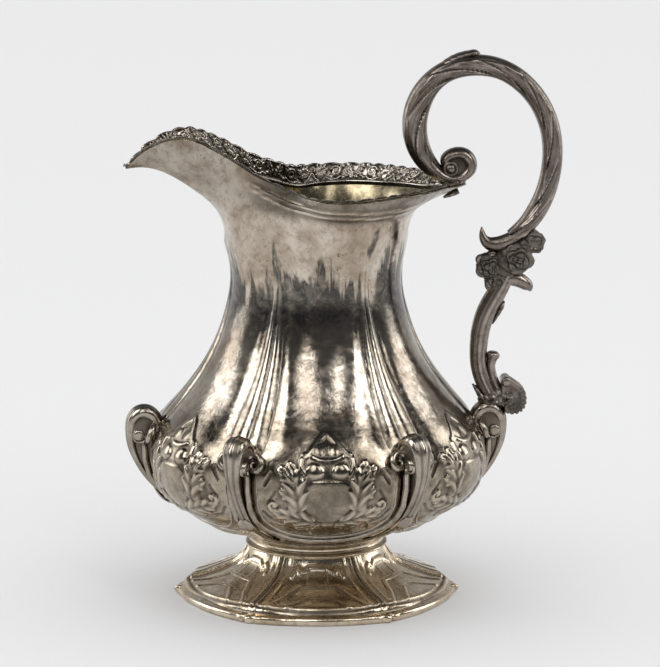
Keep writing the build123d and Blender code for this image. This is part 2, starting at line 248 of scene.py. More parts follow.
def grid_normals(grid, wrap):
    """Normals of a grid of points (row, column, xyz), pointing away from the axis side."""
    padded = np.pad(grid, ((0, 0), (1, 1), (0, 0)), mode="wrap") if wrap else grid
    along = np.gradient(padded, axis=1)
    if wrap:
        along = along[:, 1:-1]
    up = np.gradient(grid, axis=0)
    normal = np.cross(along, up)
    return normal / np.maximum(np.linalg.norm(normal, axis=-1, keepdims=True), 1e-12)


def turned(points, degrees):
    """Points turned about the jug's axis."""
    turn = math.radians(degrees)
    c, s = math.cos(turn), math.sin(turn)
    return points @ np.array(((c, s, 0), (-s, c, 0), (0, 0, 1)))


def lathe(profile, columns, wobble=None, dark=None):
    """A closed ring turned from a closed loop of (radius, height)."""
    profile = np.asarray(profile, float)
    angle = np.linspace(0, 2 * math.pi, columns, endpoint=False)
    radius = np.repeat(profile[:, :1], columns, 1)
    if wobble is not None:
        radius = radius + wobble(np.degrees(angle))[None, :]
    points = np.stack((radius * np.cos(angle), radius * np.sin(angle), np.repeat(profile[:, 1:], columns, 1)), -1)
    shade = np.zeros(len(profile)) if dark is None else np.asarray(dark, float)
    return (points.reshape(-1, 3), quads(len(profile), columns, True, True), np.repeat(shade, columns))


def tube(path, radius, sides=10, dark=0.0):
    """A round bar along a path in space, closed at both ends; radius is a number or one for each place."""
    path = np.asarray(path, float)
    radius = np.broadcast_to(np.asarray(radius, float), len(path))
    along = np.gradient(path, axis=0)
    along /= np.linalg.norm(along, axis=1, keepdims=True)
    side = np.cross(along[0], (0.3, 0.5, 0.8))
    rings = []
    around = np.linspace(0, 2 * math.pi, sides, endpoint=False)
    for centre, direction, size in zip(path, along, radius):
        side = side - direction * (side @ direction)
        side /= np.linalg.norm(side)
        other = np.cross(direction, side)
        rings.append(centre + size * (np.cos(around)[:, None] * side + np.sin(around)[:, None] * other))
    points = np.concatenate(rings)
    faces = quads(len(path), sides, True)
    last = (len(path) - 1) * sides
    faces += [list(range(sides))[::-1], list(range(last, last + sides))]
    return outward((points, faces, np.full(len(points), dark)))


def tapered(path, radius, start=0.15, end=0.15):
    """Radii along a path that is thin at its ends."""
    share = np.linspace(0, 1, len(path))
    return radius * np.minimum(np.sqrt(np.clip(share / start, 0.02, 1)), np.sqrt(np.clip((1 - share) / end, 0.02, 1)))


# ---------------------------------------------------------------- sweeps and castings

def power(value, exponent):
    """A power that keeps the sign."""
    return np.sign(value) * np.abs(value) ** exponent


def scroll(stations, relief=None, sides=28, step=0.5, square=1.0, y=0.0, dark=0.0):
    """A bar swept along stations (x, z, half thickness, half width) in the XZ plane.

    Its outer side is on the right of its direction of travel. The relief takes the distance along
    the bar and the angle round its section, 0 on the outer side, and gives a height and a darkness.
    """
    stations = np.asarray(stations, float)
    knots = chords(stations[:, :2])
    count = max(int(knots[-1] / step), 6)
    path = spline(knots, stations, np.linspace(0, knots[-1], count))
    path[:, 2:] = np.maximum(path[:, 2:], 0.12)
    along = np.gradient(path[:, :2], axis=0)
    along /= np.linalg.norm(along, axis=1, keepdims=True)
    around = np.linspace(0, 2 * math.pi, sides, endpoint=False)
    thick = path[:, 2:3] * power(np.cos(around), square)[None, :]
    wide = path[:, 3:4] * power(np.sin(around), square)[None, :]
    shade = np.full(thick.shape, dark)
    if relief is not None:
        lift, hollow = relief(np.linspace(0, knots[-1], count)[:, None], around[None, :])
        grow = 1 + lift / np.maximum(np.hypot(thick, wide), 0.6)
        thick, wide, shade = thick * grow, wide * grow, shade + hollow
    points = np.stack((path[:, :1] + along[:, 1:] * thick, y + wide, path[:, 1:2] - along[:, :1] * thick), -1)
    faces = quads(count, sides, True)
    last = (count - 1) * sides
    faces += [list(range(sides))[::-1], list(range(last, last + sides))]
    return outward((points.reshape(-1, 3), faces, shade.ravel()))


def knob(profile, x, z, columns=32, wave=None, dark=None):
    """A casting turned about a crosswise axis, from a profile of (radius, y); wave changes its radius and y."""
    profile = np.asarray(profile, float)
    around = np.linspace(0, 2 * math.pi, columns, endpoint=False)
    radius = np.repeat(profile[:, :1], columns, 1)
    depth = np.repeat(profile[:, 1:2], columns, 1)
    shade = np.zeros(radius.shape) if dark is None else np.repeat(np.asarray(dark, float)[:, None], columns, 1)
    if wave is not None:
        radius, depth, shade = wave(radius, depth, around[None, :])
    points = np.stack((x + radius * np.cos(around), depth, z + radius * np.sin(around)), -1)
    faces = quads(len(profile), columns, True)
    last = (len(profile) - 1) * columns
    faces += [list(range(columns))[::-1], list(range(last, last + columns))]
    return outward((points.reshape(-1, 3), faces, shade.ravel()))


def slab(near, far, half_near, half_far, rows=26, dark=0.4):
    """A thin upright web between two curves of (x, z), thicker or thinner at its far curve."""
    near, far = (spline(chords(c), c, np.linspace(0, chords(c)[-1], rows)) for c in (np.asarray(near), np.asarray(far)))
    loops = []
    for share, side in ((0, 1), (0.5, 1), (1, 1), (1, -1), (0.5, -1), (0, -1)):
        place = near + (far - near) * share
        half = half_near + (half_far - half_near) * share
        loops.append(np.stack((place[:, 0], np.full(rows, side * half), place[:, 1]), -1))
    points = np.stack(loops, 1)
    faces = quads(rows, len(loops), True)
    last = (rows - 1) * len(loops)
    faces += [list(range(len(loops)))[::-1], list(range(last, last + len(loops)))]
    return outward((points.reshape(-1, 3), faces, np.full(rows * len(loops), dark)))


def groove(value, centre, half_width):
    """1 on a line and 0 away from it."""
    return np.exp(-((value - centre) / half_width) ** 2)


# ---------------------------------------------------------------- materials

def node_maker(tree):
    """A short way to add a node with its inputs set or linked."""
    def add(kind, inputs=(), **settings):
        node = tree.nodes.new(kind)
        for key, value in settings.items():
            setattr(node, key, value)
        for key, value in dict(inputs).items():
            if isinstance(value, bpy.types.NodeSocket):
                tree.links.new(value, node.inputs[key])
            else:
                node.inputs[key].default_value = value
        return node
    return add


def noise(add, place, scale, detail=4.0, rough=0.6, distortion=0.0, stretch=(1, 1, 1)):
    """A noise value at a place; scale is in cycles a metre."""
    mapped = add("ShaderNodeMapping", {"Vector": place, "Scale": stretch}).outputs["Vector"]
    made = add("ShaderNodeTexNoise", {"Vector": mapped, "Scale": scale, "Detail": detail, "Roughness": rough,
                                      "Distortion": distortion})
    return made.outputs["Fac"]


def ramp(add, value, low, high):
    """A soft 0 to 1 step of a value."""
    return add("ShaderNodeMapRange", {"Value": value, "From Min": low, "From Max": high},
               interpolation_type="SMOOTHSTEP").outputs["Result"]


def product(add, a, b):
    return add("ShaderNodeMath", {0: a, 1: b}, operation="MULTIPLY").outputs[0]


def mixed(add, share, a, b):
    """Colour a turning into colour b."""
    node = add("ShaderNodeMix", data_type="RGBA")
    for socket, value in ((node.inputs[0], share), (node.inputs[6], a), (node.inputs[7], b)):
        if isinstance(value, bpy.types.NodeSocket):
            node.id_data.links.new(value, socket)
        else:
            socket.default_value = value
    return node.outputs[2]


def silver(name, bright, tone, stain, speck, polish, specks=0.5, hollow=(0.035, 0.028, 0.022), bump=0.035,
           smoke=None):
    """Old silver: a polished metal with warm mottling, brown specks and fine scratches, with tarnish and painted shade
    in its hollows and a painted highlight on worn raised edges.
    """
    made = bpy.data.materials.new(name)
    made.use_nodes = True
    tree = made.node_tree
    tree.nodes.clear()
    add = node_maker(tree)
    place = add("ShaderNodeTexCoord").outputs["Object"]
    cloud = ramp(add, noise(add, place, 70, 6, 0.62, 0.6), 0.36, 0.66)
    fine = ramp(add, noise(add, place, 420, 5, 0.7, 0.4), 0.42, 0.7)
    spots = ramp(add, noise(add, place, 1150, 4, 0.6, 1.2), 0.60, 0.69)
    patches = ramp(add, noise(add, place, 95, 4, 0.6, 1.4), 0.50, 0.62)
    colour = mixed(add, cloud, bright + (1,), tone + (1,))
    colour = mixed(add, product(add, fine, 0.55), colour, stain + (1,))
    colour = mixed(add, product(add, product(add, spots, patches), specks), colour, speck + (1,))
    metal = 1.0
    if smoke is not None:
        top, bottom, strength = smoke
        rise = add("ShaderNodeSeparateXYZ", {"Vector": place}).outputs["Z"]
        depth = add("ShaderNodeMapRange", {"Value": rise, "From Min": top, "From Max": bottom}).outputs["Result"]
        streaks = noise(add, place, 140, 4, 0.6, 0.5, (1, 1, 0.14))
        edge = add("ShaderNodeMath", {0: streaks, 1: 1.8, 2: depth}, operation="MULTIPLY_ADD").outputs[0]
        film = product(add, ramp(add, edge, 1.30, 1.44), strength)
        low = add("ShaderNodeMath", {0: streaks, 1: 0.02, 2: rise}, operation="MULTIPLY_ADD").outputs[0]
        worn = add("ShaderNodeMath", {0: ramp(add, low, 0.098, 0.084), 1: -0.7, 2: 1.0}, operation="MULTIPLY_ADD")
        worn = product(add, worn.outputs[0], noise(add, place, 260, 6, 0.75, 0.8))
        film = product(add, film, product(add, worn, 1.9))
        colour = mixed(add, film, colour, (0.062, 0.058, 0.052, 1))
        metal = add("ShaderNodeMath", {0: film, 1: -0.14, 2: 1.0}, operation="MULTIPLY_ADD").outputs[0]
    # Per-point darkness: above 0 it mixes towards the hollow colour, which is tarnish and painted shade in hollows;
    # below 0 it mixes towards a brighter silver, which is wear and a painted highlight on raised edges.
    patina_and_shading = add("ShaderNodeAttribute", attribute_name="patina_and_shading").outputs["Fac"]
    rubbed_highlight = add("ShaderNodeMath", {0: patina_and_shading, 1: -1.0}, operation="MULTIPLY", use_clamp=True).outputs[0]
    patina_and_shading = add("ShaderNodeMath", {0: patina_and_shading, 1: 1.0}, operation="MULTIPLY", use_clamp=True).outputs[0]
    colour = mixed(add, patina_and_shading, colour, hollow + (1,))
    colour = mixed(add, rubbed_highlight, colour, tuple(min(1.6 * part, 0.92) for part in bright) + (1,))
    scratch = noise(add, place, 2600, 2, 0.5, 0.2, (1, 1, 0.16))
    rough = add("ShaderNodeMapRange", {"Value": fine, "To Min": polish, "To Max": polish + 0.16}).outputs["Result"]
    rough = add("ShaderNodeMath", {0: product(add, patina_and_shading, 0.3), 1: rough}, operation="ADD").outputs[0]
    dents = add("ShaderNodeMath", {0: product(add, scratch, 0.35), 1: fine}, operation="ADD").outputs[0]
    waves = noise(add, place, 210, 2, 0.5, 0.3)
    uneven = add("ShaderNodeBump", {"Height": waves, "Strength": 1.0, "Distance": 0.00009}).outputs["Normal"]
    relief = add("ShaderNodeBump", {"Height": dents, "Strength": bump, "Distance": 0.001, "Normal": uneven})
    relief = relief.outputs["Normal"]
    shader = add("ShaderNodeBsdfPrincipled", {"Base Color": colour, "Metallic": metal, "Roughness": rough,
                                              "Normal": relief})
    add("ShaderNodeOutputMaterial", {"Surface": shader.outputs[0]})
    return made


def silver_body():
    return silver("silver_body", (0.62, 0.555, 0.47), (0.36, 0.295, 0.225), (0.20, 0.145, 0.10), (0.07, 0.045, 0.03),
                  0.10, specks=0.95, smoke=(0.119, 0.078, 0.93))


def silver_belly():
    return silver("silver_belly", (0.42, 0.365, 0.29), (0.18, 0.15, 0.115), (0.09, 0.072, 0.053), (0.05, 0.035, 0.03),
                  0.12, specks=0.8)


def silver_foot():
    return silver("silver_foot", (0.87, 0.77, 0.61), (0.64, 0.52, 0.37), (0.34, 0.25, 0.16), (0.08, 0.055, 0.035),
                  0.14, specks=0.7)


def silver_border():
    return silver("silver_border", (0.42, 0.385, 0.335), (0.31, 0.275, 0.235), (0.19, 0.165, 0.135), (0.06, 0.045, 0.035),
                  0.19, specks=0.3)


def silver_castings():
    return silver("silver_castings", (0.46, 0.41, 0.35), (0.32, 0.28, 0.23), (0.20, 0.17, 0.13), (0.07, 0.05, 0.04),
                  0.16, specks=0.3)


def silver_handle():
    return silver("silver_handle", (0.30, 0.26, 0.225), (0.17, 0.145, 0.12), (0.10, 0.08, 0.065), (0.035, 0.027, 0.022),
                  0.24, specks=0.3)


def silver_blooms():
    return silver("silver_blooms", (0.20, 0.175, 0.15), (0.13, 0.115, 0.10), (0.09, 0.075, 0.065),
                  (0.04, 0.03, 0.025), 0.3, specks=0.3)


def gilt():
    return silver("gilt_interior", (0.36, 0.31, 0.205), (0.28, 0.235, 0.15), (0.19, 0.15, 0.09), (0.10, 0.07, 0.045),
                  0.2, specks=0.35, hollow=(0.16, 0.11, 0.06))


def floor_paper():
    """Pale seamless paper with a faint tooth."""
    made = bpy.data.materials.new("floor_paper")
    made.use_nodes = True
    tree = made.node_tree
    tree.nodes.clear()
    add = node_maker(tree)
    place = add("ShaderNodeTexCoord").outputs["Object"]
    grain = noise(add, place, 900, 3)
    colour = mixed(add, grain, (0.74, 0.74, 0.74, 1), (0.78, 0.78, 0.78, 1))
    shader = add("ShaderNodeBsdfPrincipled", {"Base Color": colour, "Roughness": 0.8})
    add("ShaderNodeOutputMaterial", {"Surface": shader.outputs[0]})
    return made


# ---------------------------------------------------------------- body

REED_SPAN = np.array(((50, 5.6), (56, 5.3), (64, 4.4), (72, 3.3), (84, 2.1), (98, 1.1), (112, 0.7)))
REED_HEIGHT = np.array(((50, 0.5), (60, 0.55), (84, 0.42), (95, 0.26), (102, 0.05), (108, 0.0)))
REEDS = 2


def from_rib(angle):
    """Degrees from the nearest rib."""
    return (np.asarray(angle) + PANEL / 2) % PANEL - PANEL / 2


def from_panel(angle):
    """Degrees from the middle of the nearest panel."""
    return np.asarray(angle) % PANEL - PANEL / 2


def reeds(angle, radius, height):
    """The bundle of reeds that runs up the shoulder from each rib head, with a soft fold on each side."""
    across = np.radians(from_rib(angle)) * radius
    span = np.interp(height, REED_SPAN[:, 0], REED_SPAN[:, 1])
    rise = np.interp(height, REED_HEIGHT[:, 0], REED_HEIGHT[:, 1])
    share = (across / span + 1) / 2
    inside = (share > 0) & (share < 1)
    bars = np.abs(np.sin(math.pi * REEDS * np.clip(share, 0, 1))) ** 0.75
    crown = 0.55 + 0.45 * np.cos(np.clip(across / span, -1, 1) * math.pi / 2)
    bundle = np.where(inside, rise * crown * (0.35 + 0.65 * bars), 0)
    edge = np.abs(across) - span - 0.9
    fold = -0.55 * rise * np.exp(-(edge / (0.35 * span + 0.5)) ** 2)
    return (bundle + fold) * smooth(50, 55, height)


def leaf(x, y, root, tip, half_width, height, lobes=5):
    """An acanthus leaf: a tapering blade with a groove along its middle and notched, veined sides."""
    root, tip = np.array(root, float), np.array(tip, float)
    length = np.linalg.norm(tip - root)
    ahead = (tip - root) / length
    along = ((x - root[0]) * ahead[0] + (y - root[1]) * ahead[1]) / length
    aside = (-(x - root[0]) * ahead[1] + (y - root[1]) * ahead[0]) / half_width
    outline = np.sqrt(np.clip(np.sin(math.pi * np.clip(along, 0, 1) ** 0.8), 0, 1))
    notch = 1 - 0.28 * np.abs(np.sin(math.pi * lobes * (along - 0.14 * np.abs(aside))))
    inside = np.clip(1 - (aside / np.maximum(outline * notch, 1e-3)) ** 2, 0, 1)
    veins = 1 - 0.35 * np.abs(np.cos(math.pi * lobes * (along - 0.35 * np.abs(aside)))) ** 3
    middle = 1 - 0.5 * np.exp(-(aside / 0.16) ** 2)
    return np.where((along > 0) & (along < 1), height * inside ** 0.45 * veins * middle, 0)


def cartouche(x, y):
    """Chased ornament of one panel; x is across from its middle and y the height on the jug."""
    side = np.abs(x)
    pad = dome(x, y, (0, 40.2), 7.6, 6.6, 0.75, 0.4)
    pad = np.maximum(pad, dome(x, y, (0, 35.6), 4.8, 3.4, 0.6, 0.4))
    field = np.where(y < 45.6, pad, 0) * smooth(46.4, 45.0, y)
    parts = [
        field,
        dome(side, y, (3.75, 48.0), 2.7, 2.2, 1.0),
        ridge(side, y, ((0, 50.7), (2.2, 50.9), (4.2, 51.7)), 0.6, 0.45),
        dome(side, y, (2.6, 53.4), 2.2, 2.0, 0.4, 1.0),
        ridge(side, y, ((0, 57.6), (1.7, 56.4), (3.3, 54.4), (5.4, 52.2), (6.6, 51.8)), 0.9, 0.3),
        leaf(side, y, (8.0, 36.2), (10.8, 50.6), 4.3, 1.25, 4),
        leaf(side, y, (8.6, 44.6), (14.2, 48.8), 3.0, 1.1, 2),
        leaf(side, y, (8.8, 39.8), (13.8, 42.8), 2.6, 1.0, 2),
        leaf(side, y, (3.4, 32.4), (15.8, 36.0), 3.2, 1.1, 4),
        leaf(side, y, (2.0, 31.2), (9.0, 30.0), 1.3, 0.6, 4),
        ridge(side, y, curl((15.4, 37.6), 1.7, 1.0, -110), 0.6, 0.7),
        ridge(side, y, ((6.2, 46.6), (7.4, 49.2), (7.2, 51.0)), 0.7, 0.6),
        dome(x, y, (0, 31.6), 1.8, 1.2, 0.5),
    ]
    raised = np.maximum.reduce(parts)
    cuts = np.maximum.reduce([
        ridge(side, y, ((16.4, 46.9), (18.2, 43.6)), 0.5, 0.45),
        ridge(side, y, ((15.2, 41.5), (17.0, 38.6), (16.4, 36.4)), 0.5, 0.4),
        ridge(side, y, ((18.4, 35.2), (15.4, 32.4), (12.6, 31.6)), 0.5, 0.45),
    ])
    return raised - cuts * (raised < 0.05)


def body_outline(angle):
    """Radius and height of the meridian's stations at each angle: (angle, station, 2)."""
    angle = np.atleast_1d(np.asarray(angle, float)) % 360
    folded = np.minimum(angle, 360 - angle)
    knots = np.concatenate((-RIM[:0:-1, 0], RIM[:, 0], 360 - RIM[-2::-1, 0]))
    rows = np.concatenate((RIM[:0:-1, 1:], RIM[:, 1:], RIM[-2::-1, 1:]))
    rim = spline(knots, rows, folded).reshape(len(angle), 3, 2)
    swell = np.abs(np.sin(np.radians(LOBES / 2 * angle))) ** 1.5
    radius = BODY[None, :, 2] + (BODY[:, 1] - BODY[:, 2])[None, :] * swell[:, None]
    height = np.repeat(BODY[None, :, 0], len(angle), 0)
    return np.concatenate((np.stack((radius, height), -1), rim), 1)


REFERENCE = body_outline(PANEL / 2)[0]
BODY_KNOTS = chords(REFERENCE)
SEAM_AT = BODY_KNOTS[SEAM]
LIP_AT = BODY_KNOTS[-1]


def body_grid(places, angle, sink=0.0):
    """Points of the body's wall (place up the meridian, angle, xyz), moved inwards by a depth."""
    outline = body_outline(angle)
    meridian = np.einsum("vk,akc->vac", spline_weights(BODY_KNOTS, places), outline)
    turn = np.radians(angle)
    radius, height = meridian[..., 0], meridian[..., 1]
    neck, crease = outline[:, len(BODY) - 1], outline[:, len(BODY)]
    share = np.clip((height - neck[:, 1]) / (crease[:, 1] - neck[:, 1]), 0, 1)
    eased = neck[:, 0] + (crease[:, 0] - neck[:, 0]) * share ** 2
    radius = np.where((share > 0) & (share < 1), np.maximum(radius, eased), radius)
    points = np.stack((radius * np.cos(turn), radius * np.sin(turn), height), -1)
    if sink:
        points = points - grid_normals(points, False) * sink
    return points


def chased(places, angle):
    """The body's outer face with its reeds and chased ornament, and how dark its hollows are: tarnish and painted
    shade, with a painted highlight below 0 on raised parts.
    """
    points = body_grid(places, angle)
    radius = np.hypot(points[..., 0], points[..., 1])
    height = points[..., 2]
    degrees = np.repeat(np.asarray(angle, float)[None, :], len(places), 0)
    relief = reeds(degrees, radius, height)
    across = np.radians(from_panel(degrees)) * radius
    relief = relief + 0.72 * cartouche(across, height) * smooth(61, 58, height) * smooth(26, 28, height)
    relief = relief + mouldings(degrees, height)
    normal = grid_normals(points, False)
    # Darkness from how far the relief sits below its blurred self: tarnish and painted shade in hollows, a painted
    # highlight on raised parts.
    hollow = np.clip((blurred(relief, 6, False) - relief) * 3.4, -0.7, 1)
    return points + normal * relief[..., None], hollow


def mouldings(angle, height):
    """Two fine reeds under the border that rise from the crease towards the lip."""
    folded = np.minimum(angle % 360, 360 - angle % 360)
    line = np.interp(folded, (0, 60, 90, 110, 130, 150, 180), (115.6, 115.8, 117.0, 119.0, 122.0, 126, 130))
    fade = smooth(150, 125, folded) * smooth(20, 40, folded)
    low = np.exp(-((height - line) / 0.45) ** 2)
    high = np.exp(-((height - line - 1.5) / 0.45) ** 2)
    return 0.32 * fade * (low + high)


def extended(low, high, step):
    """Places from low to high, with one more at each end so that slopes there are true."""
    count = int((high - low) / step) + 1
    inner = np.linspace(low, high, count)
    return np.concatenate(([low - step], inner, [high + step]))


def make_neck(material):
    """The upper sheet, from the belly's seam to the edge of the lip, closed on its inside."""
    angle = np.arange(COLUMNS) * 360 / COLUMNS
    wide = np.concatenate(([angle[0] - 0.5], angle, [angle[-1] + 0.5]))
    places = extended(SEAM_AT, LIP_AT, 0.8)[:-1]
    points, hollow = chased(places, wide)
    folded = np.minimum(wide % 360, 360 - wide % 360)[None, :]
    above = places[:, None] - BODY_KNOTS[-3]
    flange = smooth(-1.0, 1.0, above) * smooth(158, 128, folded)
    cheek = smooth(-2.0, 4.0, above) * smooth(132, 160, folded)
    hollow = hollow + 0.42 * flange + 0.30 * cheek
    normals = grid_normals(points, False)[1:, 1:-1]
    points, hollow = points[1:, 1:-1], hollow[1:, 1:-1]
    low, high = np.linspace(SEAM_AT, LIP_AT - 24, 7, endpoint=False), np.linspace(LIP_AT - 24, LIP_AT, 18)
    inside = body_grid(np.concatenate((low, high)), wide, 0.7)[:, 1:-1]
    rows, back = len(points), len(inside)
    first = rows * COLUMNS
    faces = quads(rows, COLUMNS, True)
    faces += [face[::-1] for face in quads(back, COLUMNS, True, first=first)]
    for outer, inner, flip in ((0, first, False), (first - COLUMNS, first + (back - 1) * COLUMNS, True)):
        for j in range(COLUMNS):
            k = (j + 1) % COLUMNS
            face = [outer + j, inner + j, inner + k, outer + k]
            faces.append(face[::-1] if flip else face)
    every = np.concatenate((points.reshape(-1, 3), inside.reshape(-1, 3)))
    dark = np.concatenate((hollow.ravel(), np.zeros(back * COLUMNS)))
    around = np.concatenate((normals.reshape(-1, 3), -grid_normals(inside, True).reshape(-1, 3)))
    return piece("body_neck", (every, faces, dark), material, ("body_shell",), around)


def make_panel(number, material):
    """One chased belly panel between two ribs, closed at its back."""
    columns = COLUMNS // LOBES + 1
    step = PANEL / (columns - 1)
    angle = number * PANEL + np.arange(-1, columns + 1) * step
    places = extended(0.0, SEAM_AT, 0.42)
    places[0] = 0.0
    places = places[1:]
    points, hollow = chased(places, angle)
    normals = grid_normals(points, False)[:-1, 1:-1]
    points, hollow = points[:-1, 1:-1], hollow[:-1, 1:-1]
    inside = body_grid(np.linspace(0, SEAM_AT, 16), angle, 0.7)[:, 1:-1]
    rows, back = len(points), len(inside)
    first = rows * columns
    faces = quads(rows, columns)
    faces += [face[::-1] for face in quads(back, columns, first=first)]
    top_outer, top_inner = first - columns, first + (back - 1) * columns
    for j in range(columns - 1):
        faces.append([j, first + j, first + j + 1, j + 1])
        faces.append([top_outer + j + 1, top_inner + j + 1, top_inner + j, top_outer + j])
    for column, flip in ((0, False), (columns - 1, True)):
        outer = [row * columns + column for row in range(rows)]
        inner = [first + row * columns + column for row in range(back)]
        face = outer + inner[::-1]
        faces.append(face[::-1] if flip else face)
    every = np.concatenate((points.reshape(-1, 3), inside.reshape(-1, 3)))
    dark = np.concatenate((hollow.ravel(), np.zeros(back * columns)))
    around = np.concatenate((normals.reshape(-1, 3), -grid_normals(inside, False).reshape(-1, 3)))
    name = f"belly_panel_{number + 1}"
    return piece(name, (every, faces, dark), material, ("body_shell",), around)


def make_lining(material):
    """The gilt inside, from the edge of the lip down to the floor."""
    columns = 360
    angle = np.arange(-1, columns + 1) * 360 / columns
    places = np.concatenate((np.linspace(1.0, SEAM_AT, 30), np.linspace(SEAM_AT, LIP_AT, 70)[1:]))
    faces, points = [], []
    first = 0
    for sink, floor in ((WALL, BODY_BASE + WALL), (0.74, BODY_BASE + 0.74)):
        wall = body_grid(places, angle, sink)[:, 1:-1]
        start = wall[0]
        rings = [start * (share, share, 1) for share in (0.05, 0.4, 0.75)]
        for ring in rings:
            ring[:, 2] = floor
        grid = np.concatenate((np.array(rings), wall))
        sheet = quads(len(grid), columns, True, first=first)
        cap = [list(range(first, first + columns))]
        sheet = sheet + [cap[0][::-1]]
        faces += sheet if sink < WALL else [face[::-1] for face in sheet]
        points.append(grid.reshape(-1, 3))
        first += len(grid) * columns
        last = first - columns
        if sink == WALL:
            inner_last = last
    for j in range(columns):
        k = (j + 1) % columns
        faces.append([inner_last + j, inner_last + k, last + k, last + j])
    return piece("gilt_lining", (np.concatenate(points), faces), material, ("body_shell",))


def make_floor_plate(material):
    """The underside of the body inside the foot, slightly domed as raised."""
    columns = 96
    rings = []
    for radius, lift in ((0.5, 0.55), (6, 0.5), (12, 0.3), (17, 0.05), (19.2, 0.0)):
        rings.append((radius, BODY_BASE + lift))
    top = [(19.2, BODY_BASE + 0.7), (10, BODY_BASE + 0.72), (0.5, BODY_BASE + 0.74)]
    angle = np.linspace(0, 2 * math.pi, columns, endpoint=False)
    profile = np.array(rings + top)
    points = np.stack((profile[:, :1] * np.cos(angle), profile[:, :1] * np.sin(angle),
                       np.repeat(profile[:, 1:], columns, 1)), -1).reshape(-1, 3)
    faces = quads(len(profile), columns, True)
    last = (len(profile) - 1) * columns
    faces += [list(range(columns))[::-1], list(range(last, last + columns))]
    return piece("body_floor", (points, faces), material, ("body_shell",))


# ---------------------------------------------------------------- ribs and panel frames

RIB_BAND = (  # radius, height, half thickness, half width, from the tail up and round the volute
    (24.6, 20.9, 0.35, 0.9), (28.5, 22.2, 0.5, 1.0), (34.0, 24.5, 0.6, 1.1), (40.0, 27.7, 0.8, 1.3),
    (44.2, 30.7, 0.9, 1.5), (47.7, 34.2, 1.0, 1.7), (50.4, 37.8, 1.1, 1.8), (52.3, 41.4, 1.2, 1.9),
    (53.6, 45.2, 1.4, 2.15), (53.88, 49.0, 1.68, 2.6), (53.4, 52.2, 2.0, 3.1), (51.8, 54.5, 2.2, 3.35),
    (49.6, 55.0, 2.2, 3.4), (47.4, 53.8, 2.0, 3.35), (46.4, 51.8, 1.8, 3.3), (46.8, 49.4, 1.5, 3.2),
    (48.4, 47.6, 1.2, 3.2), (50.4, 46.6, 0.9, 3.1), (52.3, 46.6, 0.7, 3.0), (53.3, 47.8, 0.55, 3.0),
    (53.0, 49.5, 0.5, 3.0), (51.8, 50.0, 0.5, 3.0), (51.0, 49.0, 0.5, 2.9),
)


def rib_relief(along, around):
    """Two grooves along the outer side that fade into the rolled head."""
    across = np.abs(np.sin(around))
    outer = np.cos(around) > 0
    fade = smooth(4, 12, along) * smooth(58, 47, along)
    cut = groove(across, 0.42, 0.12) * outer * fade
    edge = groove(across, 0.86, 0.08) * fade * 0.5
    # The grooves are darkened as tarnish and painted shade.
    return -0.42 * cut - 0.12 * edge, 0.75 * cut + 0.25 * edge


def make_ribs(material):
    """Six scroll ribs: a rolled band, the web behind it, and a button in the eye of its volute."""
    band = scroll(RIB_BAND, rib_relief, sides=36, step=0.5, square=0.92)
    rows = np.array(RIB_BAND)
    line = rows[3:10, :2]
    wall = [(np.interp(z, BODY[:, 0], BODY[:, 2]) - 0.4, z) for z in line[:, 1]]
    # The web and the cheek inside the volute are darkened as painted shade of the recess behind the band, with tarnish.
    web = slab(line, wall, 1.35, 1.8, dark=0.6)
    cheek = knob(((0.4, -2.85), (3.2, -2.8), (4.2, -2.3), (4.2, 2.3), (3.2, 2.8), (0.4, 2.85)), 50.2, 51.0,
                 dark=(0.6, 0.6, 0.5, 0.5, 0.6, 0.6))
    profile = ((0.2, 3.7), (0.9, 3.68), (1.35, 3.55), (1.6, 3.2), (1.65, 2.6))
    button = knob([(r, -y) for r, y in profile] + list(profile[::-1]), 51.7, 48.6)
    tail = scroll(((47.2, 32.4, 0.3, 0.8), (45.4, 30.4, 0.7, 2.4), (42.8, 28.2, 0.5, 1.6), (41.0, 27.2, 0.2, 0.4)),
                  sides=16)
    whole = joined((band, web, cheek, button, tail))
    for number in range(LOBES):
        points = turned(whole[0], number * PANEL)
        piece(f"rib_{number + 1}_scroll", (points, whole[1], whole[2]), material,
              (f"scroll_rib_{number + 1}",), sharp=50)


def wall_point(degrees, height, lift):
    """A point on the body at an angle from the nearest panel's middle and a height, lifted off it."""
    swell = np.abs(np.sin(np.radians(LOBES / 2 * (degrees + PANEL / 2)))) ** 1.5
    crown, valley = (np.interp(height, BODY[:, 0], BODY[:, column]) for column in (1, 2))
    radius = valley + (crown - valley) * swell + lift
    turn = np.radians(degrees)
    return np.stack((radius * np.cos(turn), radius * np.sin(turn), np.asarray(height, float)), -1)


